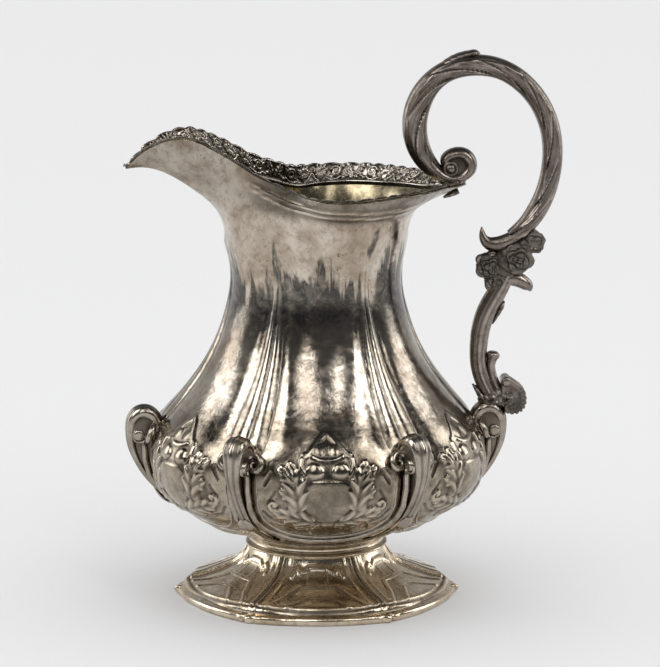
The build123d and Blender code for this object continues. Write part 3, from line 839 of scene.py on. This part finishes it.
def make_frames(material):
    """The reeded frame of each belly panel, with a curl beside each rib head."""
    radius = 47.4
    eye = (-24.9, 49.0)
    turns = curl((0, 0), 2.9, -1.2, 160, 0.5, 22)[::-1]
    hook = [(eye[0] + math.degrees(a / radius), eye[1] + b, 1.3 + 0.03 * index) for index, (a, b) in enumerate(turns)]
    side = [(-27.2, 46.6, 2.0), (-26.9, 43.0, 1.8), (-26.8, 39.0, 1.6), (-26.8, 35.0, 1.3), (-26.4, 31.8, 1.0),
            (-25.2, 29.2, 0.7), (-22.6, 27.0, 0.45), (-18.6, 25.4, 0.3), (-13.5, 24.5, 0.25), (-7.0, 24.1, 0.25),
            (0.0, 24.0, 0.25)]
    outer = smooth_path(hook + side, 0.42)
    inner = smooth_path([(-24.4, 45.6, 0.1), (-24.2, 42.0, 0.1), (-24.2, 38.0, 0.1), (-24.0, 34.6, 0.1),
                         (-22.8, 31.6, 0.1), (-20.2, 29.2, 0.1), (-16.6, 27.6, 0.1), (-12.0, 26.7, 0.1),
                         (-6.5, 26.2, 0.1), (0.0, 26.1, 0.1)], 0.42)
    low = smooth_path([(-22.0, 24.6, 0.2), (-15.0, 23.2, 0.2), (-7.0, 22.6, 0.2), (0.0, 22.5, 0.2)], 0.5)
    strands = []
    for line, size, taper in ((outer, 0.95, 0.04), (inner, 0.5, 0.25), (low, 0.55, 0.3)):
        whole = np.concatenate((line, (line * (-1, 1, 1))[-2::-1]))
        path = wall_point(whole[:, 0], whole[:, 1], whole[:, 2])
        strands.append(tube(path, tapered(whole, size, taper, taper), 12))
    frame_shape = joined(strands)
    for number in range(LOBES):
        points = turned(frame_shape[0], number * PANEL + PANEL / 2)
        piece(f"panel_frame_{number + 1}", (points, frame_shape[1], frame_shape[2]), material,
              ("body_shell",))


# ---------------------------------------------------------------- foot and collar

FOOT_TURN = -3.0
FOOT = np.array(((2.4, 37.5, 38.6), (3.4, 37.2, 38.4), (4.4, 36.4, 37.6), (5.2, 34.0, 35.0), (6.4, 30.0, 31.0),
                 (8.0, 25.8, 26.8), (10.0, 22.4, 23.3), (12.6, 20.2, 20.9), (15.2, 19.2, 19.6)))


def foot_relief(degrees, radius):
    """Ridges between the six panels, and the strapwork chased in each of them."""
    rib = np.radians(from_rib(degrees)) * radius
    across = np.radians(from_panel(degrees)) * radius
    side = np.abs(across)
    fade = smooth(38.6, 36.8, radius)
    lift = 0.55 * (groove(np.abs(rib), 0.75, 0.42)) * fade - 0.35 * groove(rib, 0, 0.35) * fade
    lift = lift + 0.16 * groove(np.abs(rib), 2.4 + 0.02 * radius, 0.4) * fade
    straps = np.maximum.reduce([
        ridge(side, radius, ((15.5, 37.0), (9.6, 31.0), (5.4, 25.7), (0, 25.4)), 0.7, 0.26),
        ridge(side, radius, ((9.2, 36.4), (5.6, 33.0), (2.6, 30.5), (0, 30.1)), 0.6, 0.22),
        ridge(side, radius, ((2.6, 25.2), (2.5, 20.4)), 0.45, 0.2),
        ridge(side, radius, ((0, 20.3), (2.4, 20.4), (4.4, 21.3), (5.2, 20.7), (6.6, 21.4), (7.6, 23.0)), 0.5, 0.42),
        dome(side, radius, (5.2, 21.4), 0.9, 0.8, 0.4),
    ])
    step = -0.4 * groove(radius, 37.15, 0.5)
    return lift + straps * fade + step


def make_foot(material):
    """The flared foot with its panels, closed on its inside."""
    rows, columns = 110, 720
    angle = np.arange(columns) * 360 / columns
    knots = chords(FOOT[:, :2])
    table = spline(knots, FOOT, np.linspace(0, knots[-1], rows))
    swell = np.abs(np.sin(np.radians(LOBES / 2 * angle))) ** 1.4
    radius = table[:, 2:3] + (table[:, 1:2] - table[:, 2:3]) * swell[None, :]
    height = np.repeat(table[:, :1], columns, 1)
    turn = np.radians(angle + FOOT_TURN)
    points = np.stack((radius * np.cos(turn), radius * np.sin(turn), height), -1)
    relief = foot_relief(np.repeat(angle[None, :], rows, 0), radius)
    outer = points + grid_normals(points, True) * relief[..., None]
    # Darkness: tarnish and painted shade in hollows, a painted highlight on raised ridges and straps, and a line of
    # painted shade along the step groove.
    dark = np.clip((blurred(relief, 5, True) - relief) * 4.0, -0.6, 1)
    dark = np.maximum(dark, 0.85 * groove(radius, 37.15, 0.55))
    inner = (points - grid_normals(points, True) * 0.8)[::6]
    inner[0, :, 2], inner[-1, :, 2] = table[0, 0], table[-1, 0]
    grid = np.concatenate((outer, inner[::-1]))
    shade = np.concatenate((dark, np.full(inner.shape[:2], 0.3)))
    piece("foot_dome", (grid.reshape(-1, 3), quads(len(grid), columns, True, True), shade.ravel()), material,
          ("foot_shell",))


def make_foot_ring(material):
    """The rolled rim that the jug stands on, with a small point at each ridge."""
    columns = 720
    profile = ((0.0, 2.4), (-1.6, 2.4), (-1.6, 3.3), (-1.0, 3.05), (0.2, 2.5), (0.75, 2.35), (1.25, 2.0), (1.5, 1.4),
               (1.35, 0.7), (0.9, 0.15), (0.2, 0.0), (-2.4, 0.0), (-2.6, 0.6), (-2.2, 1.6), (-1.8, 2.4))[1:]
    profile = smooth_path(profile + profile[:1], 0.3)[:-1]
    angle = np.arange(columns) * 360 / columns
    away = np.abs(from_rib(angle))
    swell = np.abs(np.sin(np.radians(LOBES / 2 * angle))) ** 1.4
    base = 38.9 - 1.15 * swell
    ear = 1.15 * np.exp(-(away / 1.3) ** 2) + 0.35 * np.exp(-((away - 4.0) / 1.0) ** 2)
    notch = 0.35 * np.exp(-((away - 2.4) / 0.6) ** 2)
    share = smooth(-0.6, 1.2, profile[:, 0])[:, None]
    radius = base[None, :] + profile[:, :1] + share * (ear - notch)[None, :]
    turn = np.radians(angle + FOOT_TURN)
    height = np.clip(np.repeat(profile[:, 1:], columns, 1), 0, None)
    points = np.stack((radius * np.cos(turn), radius * np.sin(turn), height), -1)
    shade = np.repeat((0.75 * groove(profile[:, 0], -1.1, 0.45) * (profile[:, 1] > 2.5))[:, None], columns, 1)
    piece("foot_ring", (points.reshape(-1, 3), quads(len(profile), columns, True, True), shade.ravel()), material,
          ("foot_rim",))


def make_collar(material):
    """The hollow moulding between foot and body, with a bead at its lower edge."""
    outer = smooth_path(((19.6, 15.2), (20.5, 15.3), (20.7, 15.75), (20.3, 16.1), (19.5, 16.5), (19.25, 17.3),
                         (19.6, 18.1), (20.4, 18.7), (20.9, 18.95), (20.9, 19.1)), 0.2)
    loop = list(map(tuple, outer)) + [(17.8, 19.1), (17.7, 17.2), (17.8, 15.2)]
    shade = [0.55 if abs(z - 16.3) < 0.25 else 0.1 for _, z in loop]
    piece("collar_ring", lathe(loop, 240, dark=shade), material, ("collar",))


# ---------------------------------------------------------------- lip border

BORDER_UNIT = 14.0
BORDER_SPAN = 6.4
BORDER_PROUD = 0.65


def border_relief(along, across):
    """Cast ornament of the lip: fans, ringed eyes, leaves and beads; across is 0 at the edge."""
    unit = np.floor(along / BORDER_UNIT)
    x = along - unit * BORDER_UNIT
    x = np.where(unit % 2 == 0, x, BORDER_UNIT - x)
    y = across + BORDER_PROUD
    fan = [leaf(x, y, (3.0, 5.2), tip, 0.75, 1.0, 3)
           for tip in ((0.5, 1.4), (1.6, 0.5), (3.0, 0.15), (4.4, 0.5), (5.5, 1.4))]
    parts = fan + [
        ridge(x, y, curl((8.0, 3.0), 1.7, 1.3, 200, 0.6), 0.42, 0.95),
        dome(x, y, (8.0, 3.0), 0.75, 0.75, 0.9),
        dome(x, y, (10.5, 5.0), 0.65, 0.6, 0.8),
        dome(x, y, (11.6, 4.5), 0.6, 0.55, 0.75),
        dome(x, y, (12.6, 3.9), 0.55, 0.5, 0.7),
        leaf(x, y, (6.2, 5.0), (10.6, 0.5), 1.2, 0.95, 4),
        leaf(x, y, (13.4, 5.2), (11.4, 0.4), 1.2, 0.95, 4),
        ridge(x, y, ((5.2, 5.0), (6.6, 5.6), (8.6, 5.4), (9.6, 4.6)), 0.4, 0.8),
        ridge(x, y, ((0.2, 3.2), (1.0, 4.6), (2.4, 5.6)), 0.35, 0.6),
        0.95 * groove(y, BORDER_SPAN + BORDER_PROUD - 0.75, 0.62),
        0.95 * groove(y, 0.2, 0.5) * (0.5 + 0.5 * np.abs(np.sin(math.pi * along / 2.3))),
    ]
    return 0.26 + np.maximum.reduce(parts) * 0.88


def make_border(name, side, material, node):
    """One of the two cast strips that follow the lip on its inner face."""
    dense = np.linspace(0, 180, 900)
    sheet = body_grid(np.linspace(LIP_AT - 10, LIP_AT, 60), dense, WALL + 0.03)
    run = np.concatenate(([0], np.cumsum(np.linalg.norm(np.diff(sheet[-1], axis=0), axis=1))))
    count = int(run[-1] / 0.2)
    angle = np.interp(np.linspace(0, run[-1], count), run, dense)
    sheet = body_grid(np.linspace(LIP_AT - 13, LIP_AT, 70), angle, WALL + 0.03)
    inward = -grid_normals(sheet, False)
    back = np.linalg.norm(np.diff(sheet[::-1], axis=0), axis=-1)
    back = np.concatenate((np.zeros((1, count)), np.cumsum(back, axis=0)))
    along = np.linspace(0, run[-1], count)
    lump = np.abs(np.sin(math.pi * along / 4.7 + 0.8 * np.sin(along / 5.1)))
    edge = -BORDER_PROUD * (0.15 + 0.85 * lump)
    rows = 34
    across = np.linspace(0, 1, rows)[:, None] * (BORDER_SPAN - edge)[None, :] + edge[None, :]
    base, facing = np.empty((rows, count, 3)), np.empty((rows, count, 3))
    for j in range(count):
        for k in range(3):
            base[:, j, k] = np.interp(across[:, j], back[:, j], sheet[::-1, j, k])
            facing[:, j, k] = np.interp(across[:, j], back[:, j], inward[::-1, j, k])
        ahead = sheet[-1, j] - sheet[-4, j]
        past = np.clip(-across[:, j], 0, None)[:, None]
        base[:, j] += past * ahead / np.linalg.norm(ahead)
    relief = border_relief(np.repeat(along[None, :], rows, 0), across)
    ends = smooth(0, 0.06, np.linspace(0, 1, rows)) * smooth(1, 0.94, np.linspace(0, 1, rows))
    height = relief * (0.35 + 0.65 * ends[:, None])
    # Darkness: tarnish and painted shade in the hollows of the casting, a painted highlight on its raised parts.
    dark = np.clip((blurred(relief, 7, False) - relief) * 3.4 + 0.08, -0.6, 1)
    front = base + facing * height[..., None]
    rear = base[::-1][[0, rows // 2, rows - 1]]
    grid = np.concatenate((front, rear))
    grid[..., 1] *= side
    shade = np.concatenate((dark, np.full((3, count), 0.2)))
    faces = quads(len(grid), count, False, True)
    column = np.arange(len(grid)) * count
    faces += [column.tolist()[::-1], (column + count - 1).tolist()]
    piece(name, (grid.reshape(-1, 3), faces, shade.ravel()), material, (node,), sharp=65)


# ---------------------------------------------------------------- handle

UPPER_SCROLL = (  # x, z, half thickness, half width
    (38.4, 125.2, 1.2, 2.6), (37.3, 128.0, 1.5, 2.9), (40.2, 129.9, 1.7, 3.1), (43.5, 128.9, 2.0, 3.3),
    (44.5, 126.0, 2.0, 3.4), (42.6, 123.5, 1.7, 3.4), (38.8, 122.8, 1.45, 3.5), (34.8, 124.5, 2.3, 3.6),
    (31.4, 128.2, 3.0, 3.8), (29.2, 132.8, 3.4, 4.0), (28.4, 138.2, 3.6, 4.1), (29.4, 144.0, 3.6, 4.1),
    (32.3, 149.4, 3.3, 4.0), (36.6, 153.2, 3.1, 3.9), (41.6, 155.1, 3.1, 3.8), (46.9, 155.5, 3.1, 3.7),
    (52.8, 154.4, 3.0, 3.7), (58.3, 151.3, 3.0, 3.7), (62.7, 146.9, 2.95, 3.6), (66.0, 141.4, 2.95, 3.6),
    (67.9, 135.2, 2.95, 3.6), (68.36, 129.2, 2.95, 3.6), (67.8, 123.4, 2.95, 3.5), (66.3, 117.8, 2.95, 3.4),
    (63.8, 112.6, 2.9, 3.2), (60.6, 108.4, 2.6, 3.0), (56.6, 105.2, 2.1, 2.8),
)
LOWER_SCROLL = (
    (57.2, 102.6, 1.7, 2.4), (56.6, 98.0, 2.0, 2.6), (55.0, 93.4, 2.4, 2.8), (52.4, 88.6, 2.8, 3.1),
    (49.8, 83.8, 2.9, 3.2), (48.0, 78.6, 2.75, 3.2), (47.3, 73.4, 2.6, 3.1), (47.2, 68.4, 2.4, 3.0),
    (48.1, 64.2, 2.4, 2.9), (49.8, 60.4, 2.4, 2.8), (51.2, 57.6, 2.3, 2.7),
)
LEAF_PITCH = 12.5


def wrapped_leaves(along, around):
    """Long leaves that wrap the scroll one over another, between a bead inside and a band outside."""
    outer = -np.cos(around)
    flank = smooth(-0.72, -0.5, outer) * smooth(0.78, 0.5, outer)
    start = smooth(28, 36, along) * smooth(146, 136, along)
    phase = along / LEAF_PITCH + 0.75 * outer + 0.22 * np.sin(2.6 * outer + 0.4) + 0.12 * np.sign(np.sin(around))
    share = phase - np.floor(phase)
    blade = share ** 1.4 * smooth(1.0, 0.95, share)
    vein = np.cos(2 * math.pi * (share * 2.6 + 1.1 * outer))
    edge = groove(share, 0.98, 0.07) + groove(share, 0.0, 0.06)
    inside = groove(outer, -0.72, 0.09)
    outside = groove(outer, 0.66, 0.08)
    lift = start * flank * (1.0 * blade + 0.08 * vein) - 0.30 * inside * smooth(20, 30, along)
    lift = lift - 0.16 * outside * start
    # Darkness: tarnish and painted shade at each blade's overlapping edge, between the veins and in the inner and outer
    # grooves; below 0 near each blade's tip, a painted highlight.
    dark = start * flank * (1.0 * edge + 0.2 * (1 - vein) - 0.9 * groove(share, 0.86, 0.07)) + 0.7 * inside + 0.35 * outside * start
    return lift, dark


def volute_lines(along, around):
    """Fine grooves along a scroll."""
    outer = -np.cos(around)
    cut = groove(outer, 0.35, 0.1) + groove(outer, -0.3, 0.1) + 0.6 * groove(outer, -0.75, 0.08)
    # The grooves are darkened as tarnish and painted shade; a painted highlight runs along the middle of each side
    # face.
    return -0.22 * cut, 0.55 * cut - 0.3 * groove(outer, 0.03, 0.16)


def leaf_veins(along, around):
    """A split middle rib and slanting veins on both faces of a leaf."""
    across = np.sin(around)
    slant = np.abs(np.sin(along * 1.5 - 1.6 * np.abs(across)))
    middle = groove(across, 0, 0.14)
    # The cut veins and the split middle rib are darkened as tarnish and painted shade.
    return -0.16 * (1 - slant) ** 2 - 0.2 * middle, 0.6 * (1 - slant) ** 2 + 0.5 * middle


def rose_wave(radius_at_cheek, half_depth, turn, layers):
    """Petals of a rose that opens towards both faces of the handle."""
    def wave(radius, depth, around):
        pole = np.degrees(np.arctan2(radius / radius_at_cheek, np.abs(depth) / half_depth))
        lift = np.zeros(radius.shape) + 0 * around
        shade = np.zeros(lift.shape)
        for index, (edge, petals) in enumerate(layers):
            beat = np.cos(petals * (around + turn + index * 0.9))
            lip = edge + 5.0 * beat
            lift = np.maximum(lift, (0.62 + 0.1 * index) * np.exp(-np.abs((pole - lip) / 5.2) ** 1.6))
            # Painted shade just behind each petal's lip and in the splits between petals.
            behind = np.exp(-((pole - lip - 8.5) / 4.2) ** 2)
            split = np.exp(-((beat + 1) / 0.12) ** 2) * np.exp(-((pole - lip) / 9) ** 2)
            shade = np.maximum(shade, np.maximum(0.95 * behind, 0.7 * split))
            lift = lift - 0.3 * split
            # A painted highlight along each petal's lip.
            shade = shade - 0.5 * np.exp(-((pole - lip) / 2.6) ** 2)
        ruffle = 0.10 * radius_at_cheek * np.cos(5 * (around + turn)) * smooth(50, 80, pole)
        away = np.sin(np.radians(pole))
        out = radius + lift * away + ruffle - 0.35
        side = np.sign(depth) * (np.abs(depth) + (lift - 0.45) * np.cos(np.radians(pole)))
        return np.maximum(out, 0.05), side, shade
    return wave


ROSE_LAYERS = ((9, 2), (22, 3), (37, 4), (54, 5), (74, 5))
BLOSSOM_LAYERS = ((14, 5), (48, 5))


def make_bloom(name, node, shape, layers, turn, material):
    """A flower head with rings of petals."""
    x, z, radius, half_depth = shape
    pole = np.radians(np.linspace(0.6, 179.4, 84))
    profile = np.stack((radius * np.sin(pole) ** 0.8, -half_depth * power(np.cos(pole), 0.8)), 1)
    made = knob(profile, x, z, 96, rose_wave(radius, half_depth, turn, layers))
    piece(name, made, material, (node,))


def rolled_shell():
    """The fluted shell that rolls outwards at the foot of the handle."""
    outline = np.array(((61.4, 57.0), (60.6, 60.2), (58.2, 62.4), (54.9, 63.9), (53.7, 60.4), (54.3, 56.4),
                        (55.2, 53.4), (58.0, 52.9), (60.4, 54.2), (61.4, 57.0)))
    centre = np.array((56.8, 58.2))
    columns = 108
    knots = chords(outline)
    rim = spline(knots, outline, np.linspace(0, knots[-1], columns, endpoint=False))
    around = np.linspace(0, 2 * math.pi, columns, endpoint=False)
    right = smooth(-1.9, -1.4, (around + math.pi) % (2 * math.pi) - math.pi)
    right = right * smooth(1.1, 0.7, (around + math.pi) % (2 * math.pi) - math.pi)
    flute = 1 - right * (1 - np.abs(np.sin(10 * around)) ** 0.7)
    rings, shades = [], []
    for share, y in ((0.1, 2.0), (0.35, 2.1), (0.6, 2.6), (0.85, 3.15), (0.97, 2.9), (1.0, 2.0), (1.0, 0.7)):
        cut = 0.12 * max(share - 0.5, 0) * 2 * (1 - flute)[:, None]
        rings.append((centre + (rim - centre) * (share * (1 - cut)), y - 0.5 * (1 - flute) * max(share - 0.5, 0)))
        shades.append(0.9 * (1 - flute) * max(share - 0.4, 0) + 0.25)
    whole = [(place, -y) for place, y in rings] + rings[::-1]
    points = np.stack([np.stack((place[:, 0], y, place[:, 1]), -1) for place, y in whole])
    faces = quads(len(whole), columns, True)
    last = (len(whole) - 1) * columns
    faces += [list(range(columns))[::-1], list(range(last, last + columns))]
    shell = outward((points.reshape(-1, 3), faces, np.concatenate(shades + shades[::-1])))
    profile = ((0.2, 3.5), (0.9, 3.45), (1.35, 3.2), (1.5, 2.6), (1.35, 0.5))
    roll = knob([(r, -y) for r, y in profile] + list(profile[::-1]), 55.2, 62.7)
    return joined((shell, roll))


def make_handle(material, bloom_material):
    """The double scroll and the castings soldered on to it."""
    eye_profile = ((0.2, 3.5), (0.8, 3.35), (1.25, 3.0), (1.4, 2.75), (1.75, 3.0), (2.1, 2.9), (2.3, 2.4))
    # The eye's grooves and the web behind it are darkened as tarnish and painted shade.
    eye = knob([(r, -y) for r, y in eye_profile] + list(eye_profile[::-1]), 38.7, 125.7,
               dark=(0, 0, 0.3, 0.8, 0.2, 0, 0.4, 0.4, 0, 0.2, 0.8, 0.3, 0, 0))
    web = knob(((0.4, -2.5), (3.2, -2.3), (4.4, -1.4), (4.4, 1.4), (3.2, 2.3), (0.4, 2.5)), 40.6, 126.2,
               dark=(0.6, 0.8, 0.8, 0.8, 0.8, 0.6))
    main = scroll(UPPER_SCROLL, wrapped_leaves, sides=72, step=0.32)
    piece("handle_upper_c", joined((main, eye, web)), material, ("handle_upper_scroll",), sharp=60)
    lower = scroll(LOWER_SCROLL, volute_lines, sides=48, step=0.5)
    piece("handle_lower_c", lower, material, ("handle_lower_scroll",))
    leaves = {
        "thumb_rest_leaf": ("thumb_leaf", ((33.2, 152.4, 0.4, 1.2), (35.6, 154.9, 0.7, 1.9), (38.4, 156.9, 0.95, 2.4),
                                           (41.6, 158.3, 1.0, 2.4), (44.6, 159.0, 0.95, 2.1), (46.4, 158.8, 0.9, 1.6),
                                           (46.9, 157.9, 0.5, 1.0))),
        "spur_acanthus": ("spur_leaf", ((51.2, 79.6, 0.4, 0.9), (53.0, 83.0, 0.8, 1.7), (54.2, 85.4, 0.7, 1.4),
                                        (54.7, 86.2, 0.25, 0.5))),
        "bud_stalk": ("handle_bud", ((53.3, 59.6, 1.3, 1.8), (51.4, 64.0, 1.35, 1.6), (50.9, 67.2, 1.3, 1.5),
                                     (51.3, 69.6, 1.8, 1.8), (51.6, 70.7, 1.9, 1.9), (51.7, 71.3, 1.2, 1.2))),
        "base_acanthus": ("base_leaf", ((45.6, 61.6, 0.3, 0.8), (46.8, 60.2, 0.8, 2.0), (48.0, 58.4, 1.1, 2.6),
                                        (49.2, 56.6, 1.2, 2.8))),
        "rim_clip": ("rim_tab", ((41.2, 118.9, 0.9, 1.6), (38.8, 117.9, 0.8, 1.4), (36.8, 117.0, 0.35, 0.5))),
        "upper_horn_leaf": ("handle_upper_horn", ((61.0, 108.2, 1.6, 2.6), (57.4, 105.0, 2.1, 2.7),
                                                  (54.6, 103.5, 2.3, 2.5),
                                                  (52.2, 103.0, 2.2, 2.2), (50.0, 103.4, 1.9, 1.9),
                                                  (48.6, 104.8, 1.35, 1.4), (48.1, 106.6, 0.8, 0.9),
                                                  (48.0, 108.2, 0.2, 0.2))),
        "lower_horn_leaf": ("handle_lower_horn", ((54.0, 91.8, 1.8, 2.4), (56.2, 92.9, 2.2, 2.5), (58.6, 92.5, 2.2, 2.4),
                                                  (60.8, 91.2, 1.9, 2.1), (62.0, 89.9, 1.2, 1.4),
                                                  (62.3, 89.1, 0.4, 0.6))),
    }
    for name, (node, stations) in leaves.items():
        detail = None if "horn" in name or "bud" in name else leaf_veins
        piece(name, scroll(stations, detail, sides=40, step=0.3), material, (node,))
    socket = scroll(((47.4, 56.4, 0.9, 1.8), (49.6, 57.4, 2.4, 2.7), (52.4, 57.8, 3.2, 3.0), (55.2, 57.6, 3.0, 2.9),
                     (57.2, 57.0, 1.4, 1.8)), leaf_veins, sides=48, step=0.3, dark=0.2)
    piece("handle_base_socket", socket, material, ("handle_socket",))
    piece("rolled_base_shell", rolled_shell(), material, ("handle_shell",), sharp=70)
    bed = scroll(((63.4, 106.2, 2.2, 2.0), (60.4, 102.6, 3.4, 3.2), (56.6, 99.0, 4.4, 3.8), (53.6, 95.8, 4.2, 3.6),
                  (52.4, 92.4, 2.6, 3.0), (52.6, 90.6, 1.2, 1.6)), leaf_veins, sides=48, step=0.3, dark=0.35)
    piece("rose_foliage", bed, bloom_material, ("rose_large",))
    make_bloom("rose_main", "rose_large", (58.0, 99.1, 4.5, 5.0), ROSE_LAYERS, 0.3, bloom_material)
    make_bloom("rose_inner", "rose_side", (50.2, 96.8, 3.6, 4.0), ROSE_LAYERS[1:], 1.2, bloom_material)
    make_bloom("rose_lower", "rose_low", (52.0, 92.6, 3.0, 3.9), ROSE_LAYERS[1:], 2.3, bloom_material)
    make_bloom("rose_back", "rose_outer", (63.0, 103.6, 3.1, 3.3), ROSE_LAYERS[2:], 0.9, bloom_material)
    make_bloom("blossom_inner", "flower_inner", (51.0, 57.6, 2.3, 4.2), BLOSSOM_LAYERS, 0.5, bloom_material)
    make_bloom("blossom_outer", "flower_outer", (55.2, 57.6, 2.4, 4.2), BLOSSOM_LAYERS, 1.0, bloom_material)


# ---------------------------------------------------------------- stage

CAMERA_AZIMUTH = -4.0
CAMERA_ELEVATION = 12.0
CAMERA_DISTANCE = 1.5
LOOK_AT = Vector((0.004, 0.0, 0.0773))
PIXELS_A_METRE = 3450.0
IMAGE_HEIGHT = 667
SENSOR = 36.0


def make_camera():
    data = bpy.data.cameras.new("camera")
    data.sensor_width = SENSOR
    data.lens = PIXELS_A_METRE * CAMERA_DISTANCE * SENSOR / IMAGE_HEIGHT
    data.clip_end = 20
    camera = bpy.data.objects.new("camera", data)
    bpy.context.scene.collection.objects.link(camera)
    azimuth, elevation = math.radians(CAMERA_AZIMUTH), math.radians(CAMERA_ELEVATION)
    back = Vector((math.sin(azimuth) * math.cos(elevation), -math.cos(azimuth) * math.cos(elevation),
                   math.sin(elevation)))
    camera.location = LOOK_AT + back * CAMERA_DISTANCE
    camera.rotation_euler = back.to_track_quat("Z", "Y").to_euler()
    bpy.context.scene.camera = camera


def softbox(name, azimuth, elevation, size, radiance, distance=1.2, shape="ELLIPSE", falls=True):
    """A soft light that faces the jug; azimuth is from the camera's side, positive to the right."""
    data = bpy.data.lights.new(name, "AREA")
    data.shape = shape
    data.size, data.size_y = size
    data.energy = radiance * math.pi * size[0] * size[1]
    light = bpy.data.objects.new(name, data)
    bpy.context.scene.collection.objects.link(light)
    turn, rise = math.radians(azimuth + CAMERA_AZIMUTH), math.radians(elevation)
    away = Vector((math.sin(turn) * math.cos(rise), -math.cos(turn) * math.cos(rise), math.sin(rise)))
    light.location = Vector((0, 0, 0.08)) + away * distance
    light.rotation_euler = away.to_track_quat("Z", "Y").to_euler()
    light.visible_diffuse = falls


def make_world():
    """A plain pale surround for the camera, and a dim room for what the silver mirrors."""
    world = bpy.data.worlds.new("studio")
    bpy.context.scene.world = world
    world.use_nodes = True
    tree = world.node_tree
    tree.nodes.clear()
    add = node_maker(tree)
    seen = add("ShaderNodeLightPath").outputs["Is Camera Ray"]
    direction = add("ShaderNodeTexCoord").outputs["Generated"]
    split = add("ShaderNodeSeparateXYZ", {"Vector": direction})
    upward = ramp(add, split.outputs["Z"], -0.1, 0.9)
    behind = product(add, ramp(add, split.outputs["Y"], -0.2, 0.7), ramp(add, split.outputs["Z"], 0.75, 0.25))
    room = mixed(add, upward, (0.055, 0.06, 0.068, 1), (0.05, 0.052, 0.058, 1))
    room = mixed(add, behind, room, (0.5, 0.5, 0.5, 1))
    room = mixed(add, ramp(add, split.outputs["Z"], 0.0, 0.16), (0.66, 0.66, 0.66, 1), room)
    glossy = add("ShaderNodeLightPath").outputs["Is Glossy Ray"]
    plain = add("ShaderNodeBackground", {"Color": (0.84, 0.84, 0.84, 1), "Strength": 1.0})
    ambient = add("ShaderNodeBackground", {"Color": (1.13, 1.13, 1.14, 1), "Strength": 1.0})
    mirrored = add("ShaderNodeBackground", {"Color": room, "Strength": 1.0})
    unseen = add("ShaderNodeMixShader", {0: glossy, 1: ambient.outputs[0], 2: mirrored.outputs[0]})
    both = add("ShaderNodeMixShader", {0: seen, 1: unseen.outputs[0], 2: plain.outputs[0]})
    add("ShaderNodeOutputWorld", {"Surface": both.outputs[0]})


def make_floor():
    mesh = bpy.data.meshes.new("floor")
    side = 3.0
    corners = [(-side, -side, 0), (side, -side, 0), (side, side, 0), (-side, side, 0)]
    mesh.from_pydata(corners, [], [(0, 1, 2, 3)])
    floor = bpy.data.objects.new("floor", mesh)
    bpy.context.scene.collection.objects.link(floor)
    mesh.materials.append(floor_paper())


make_camera()
make_world()
make_floor()
softbox("window_left", -12, 47, (0.36, 0.98), 2.3, falls=False)
softbox("window_right", 27, 46, (0.2, 0.7), 2.2)
softbox("side_left", -66, 40, (0.54, 1.0), 3.6, falls=False)
softbox("side_right", 64, 40, (0.46, 0.95), 3.4, falls=False)
softbox("far_left", -112, 20, (0.6, 1.1), 2.6, 1.6, "RECTANGLE", falls=False)
softbox("far_right", 112, 20, (0.6, 1.1), 2.4, 1.6, "RECTANGLE", falls=False)

body_silver = silver_body()
belly_silver = silver_belly()
make_neck(body_silver)
for number in range(LOBES):
    make_panel(number, belly_silver)
make_lining(gilt())
make_floor_plate(belly_silver)
cast_silver = silver_castings()
make_ribs(cast_silver)
make_frames(cast_silver)
foot_silver = silver_foot()
make_foot(foot_silver)
make_foot_ring(foot_silver)
make_collar(foot_silver)
border_silver = silver_border()
make_border("lip_ornament_right", 1, border_silver, "lip_border_right")
make_border("lip_ornament_left", -1, border_silver, "lip_border_left")
make_handle(silver_handle(), silver_blooms())

bpy.context.scene.view_settings.view_transform = "Standard"
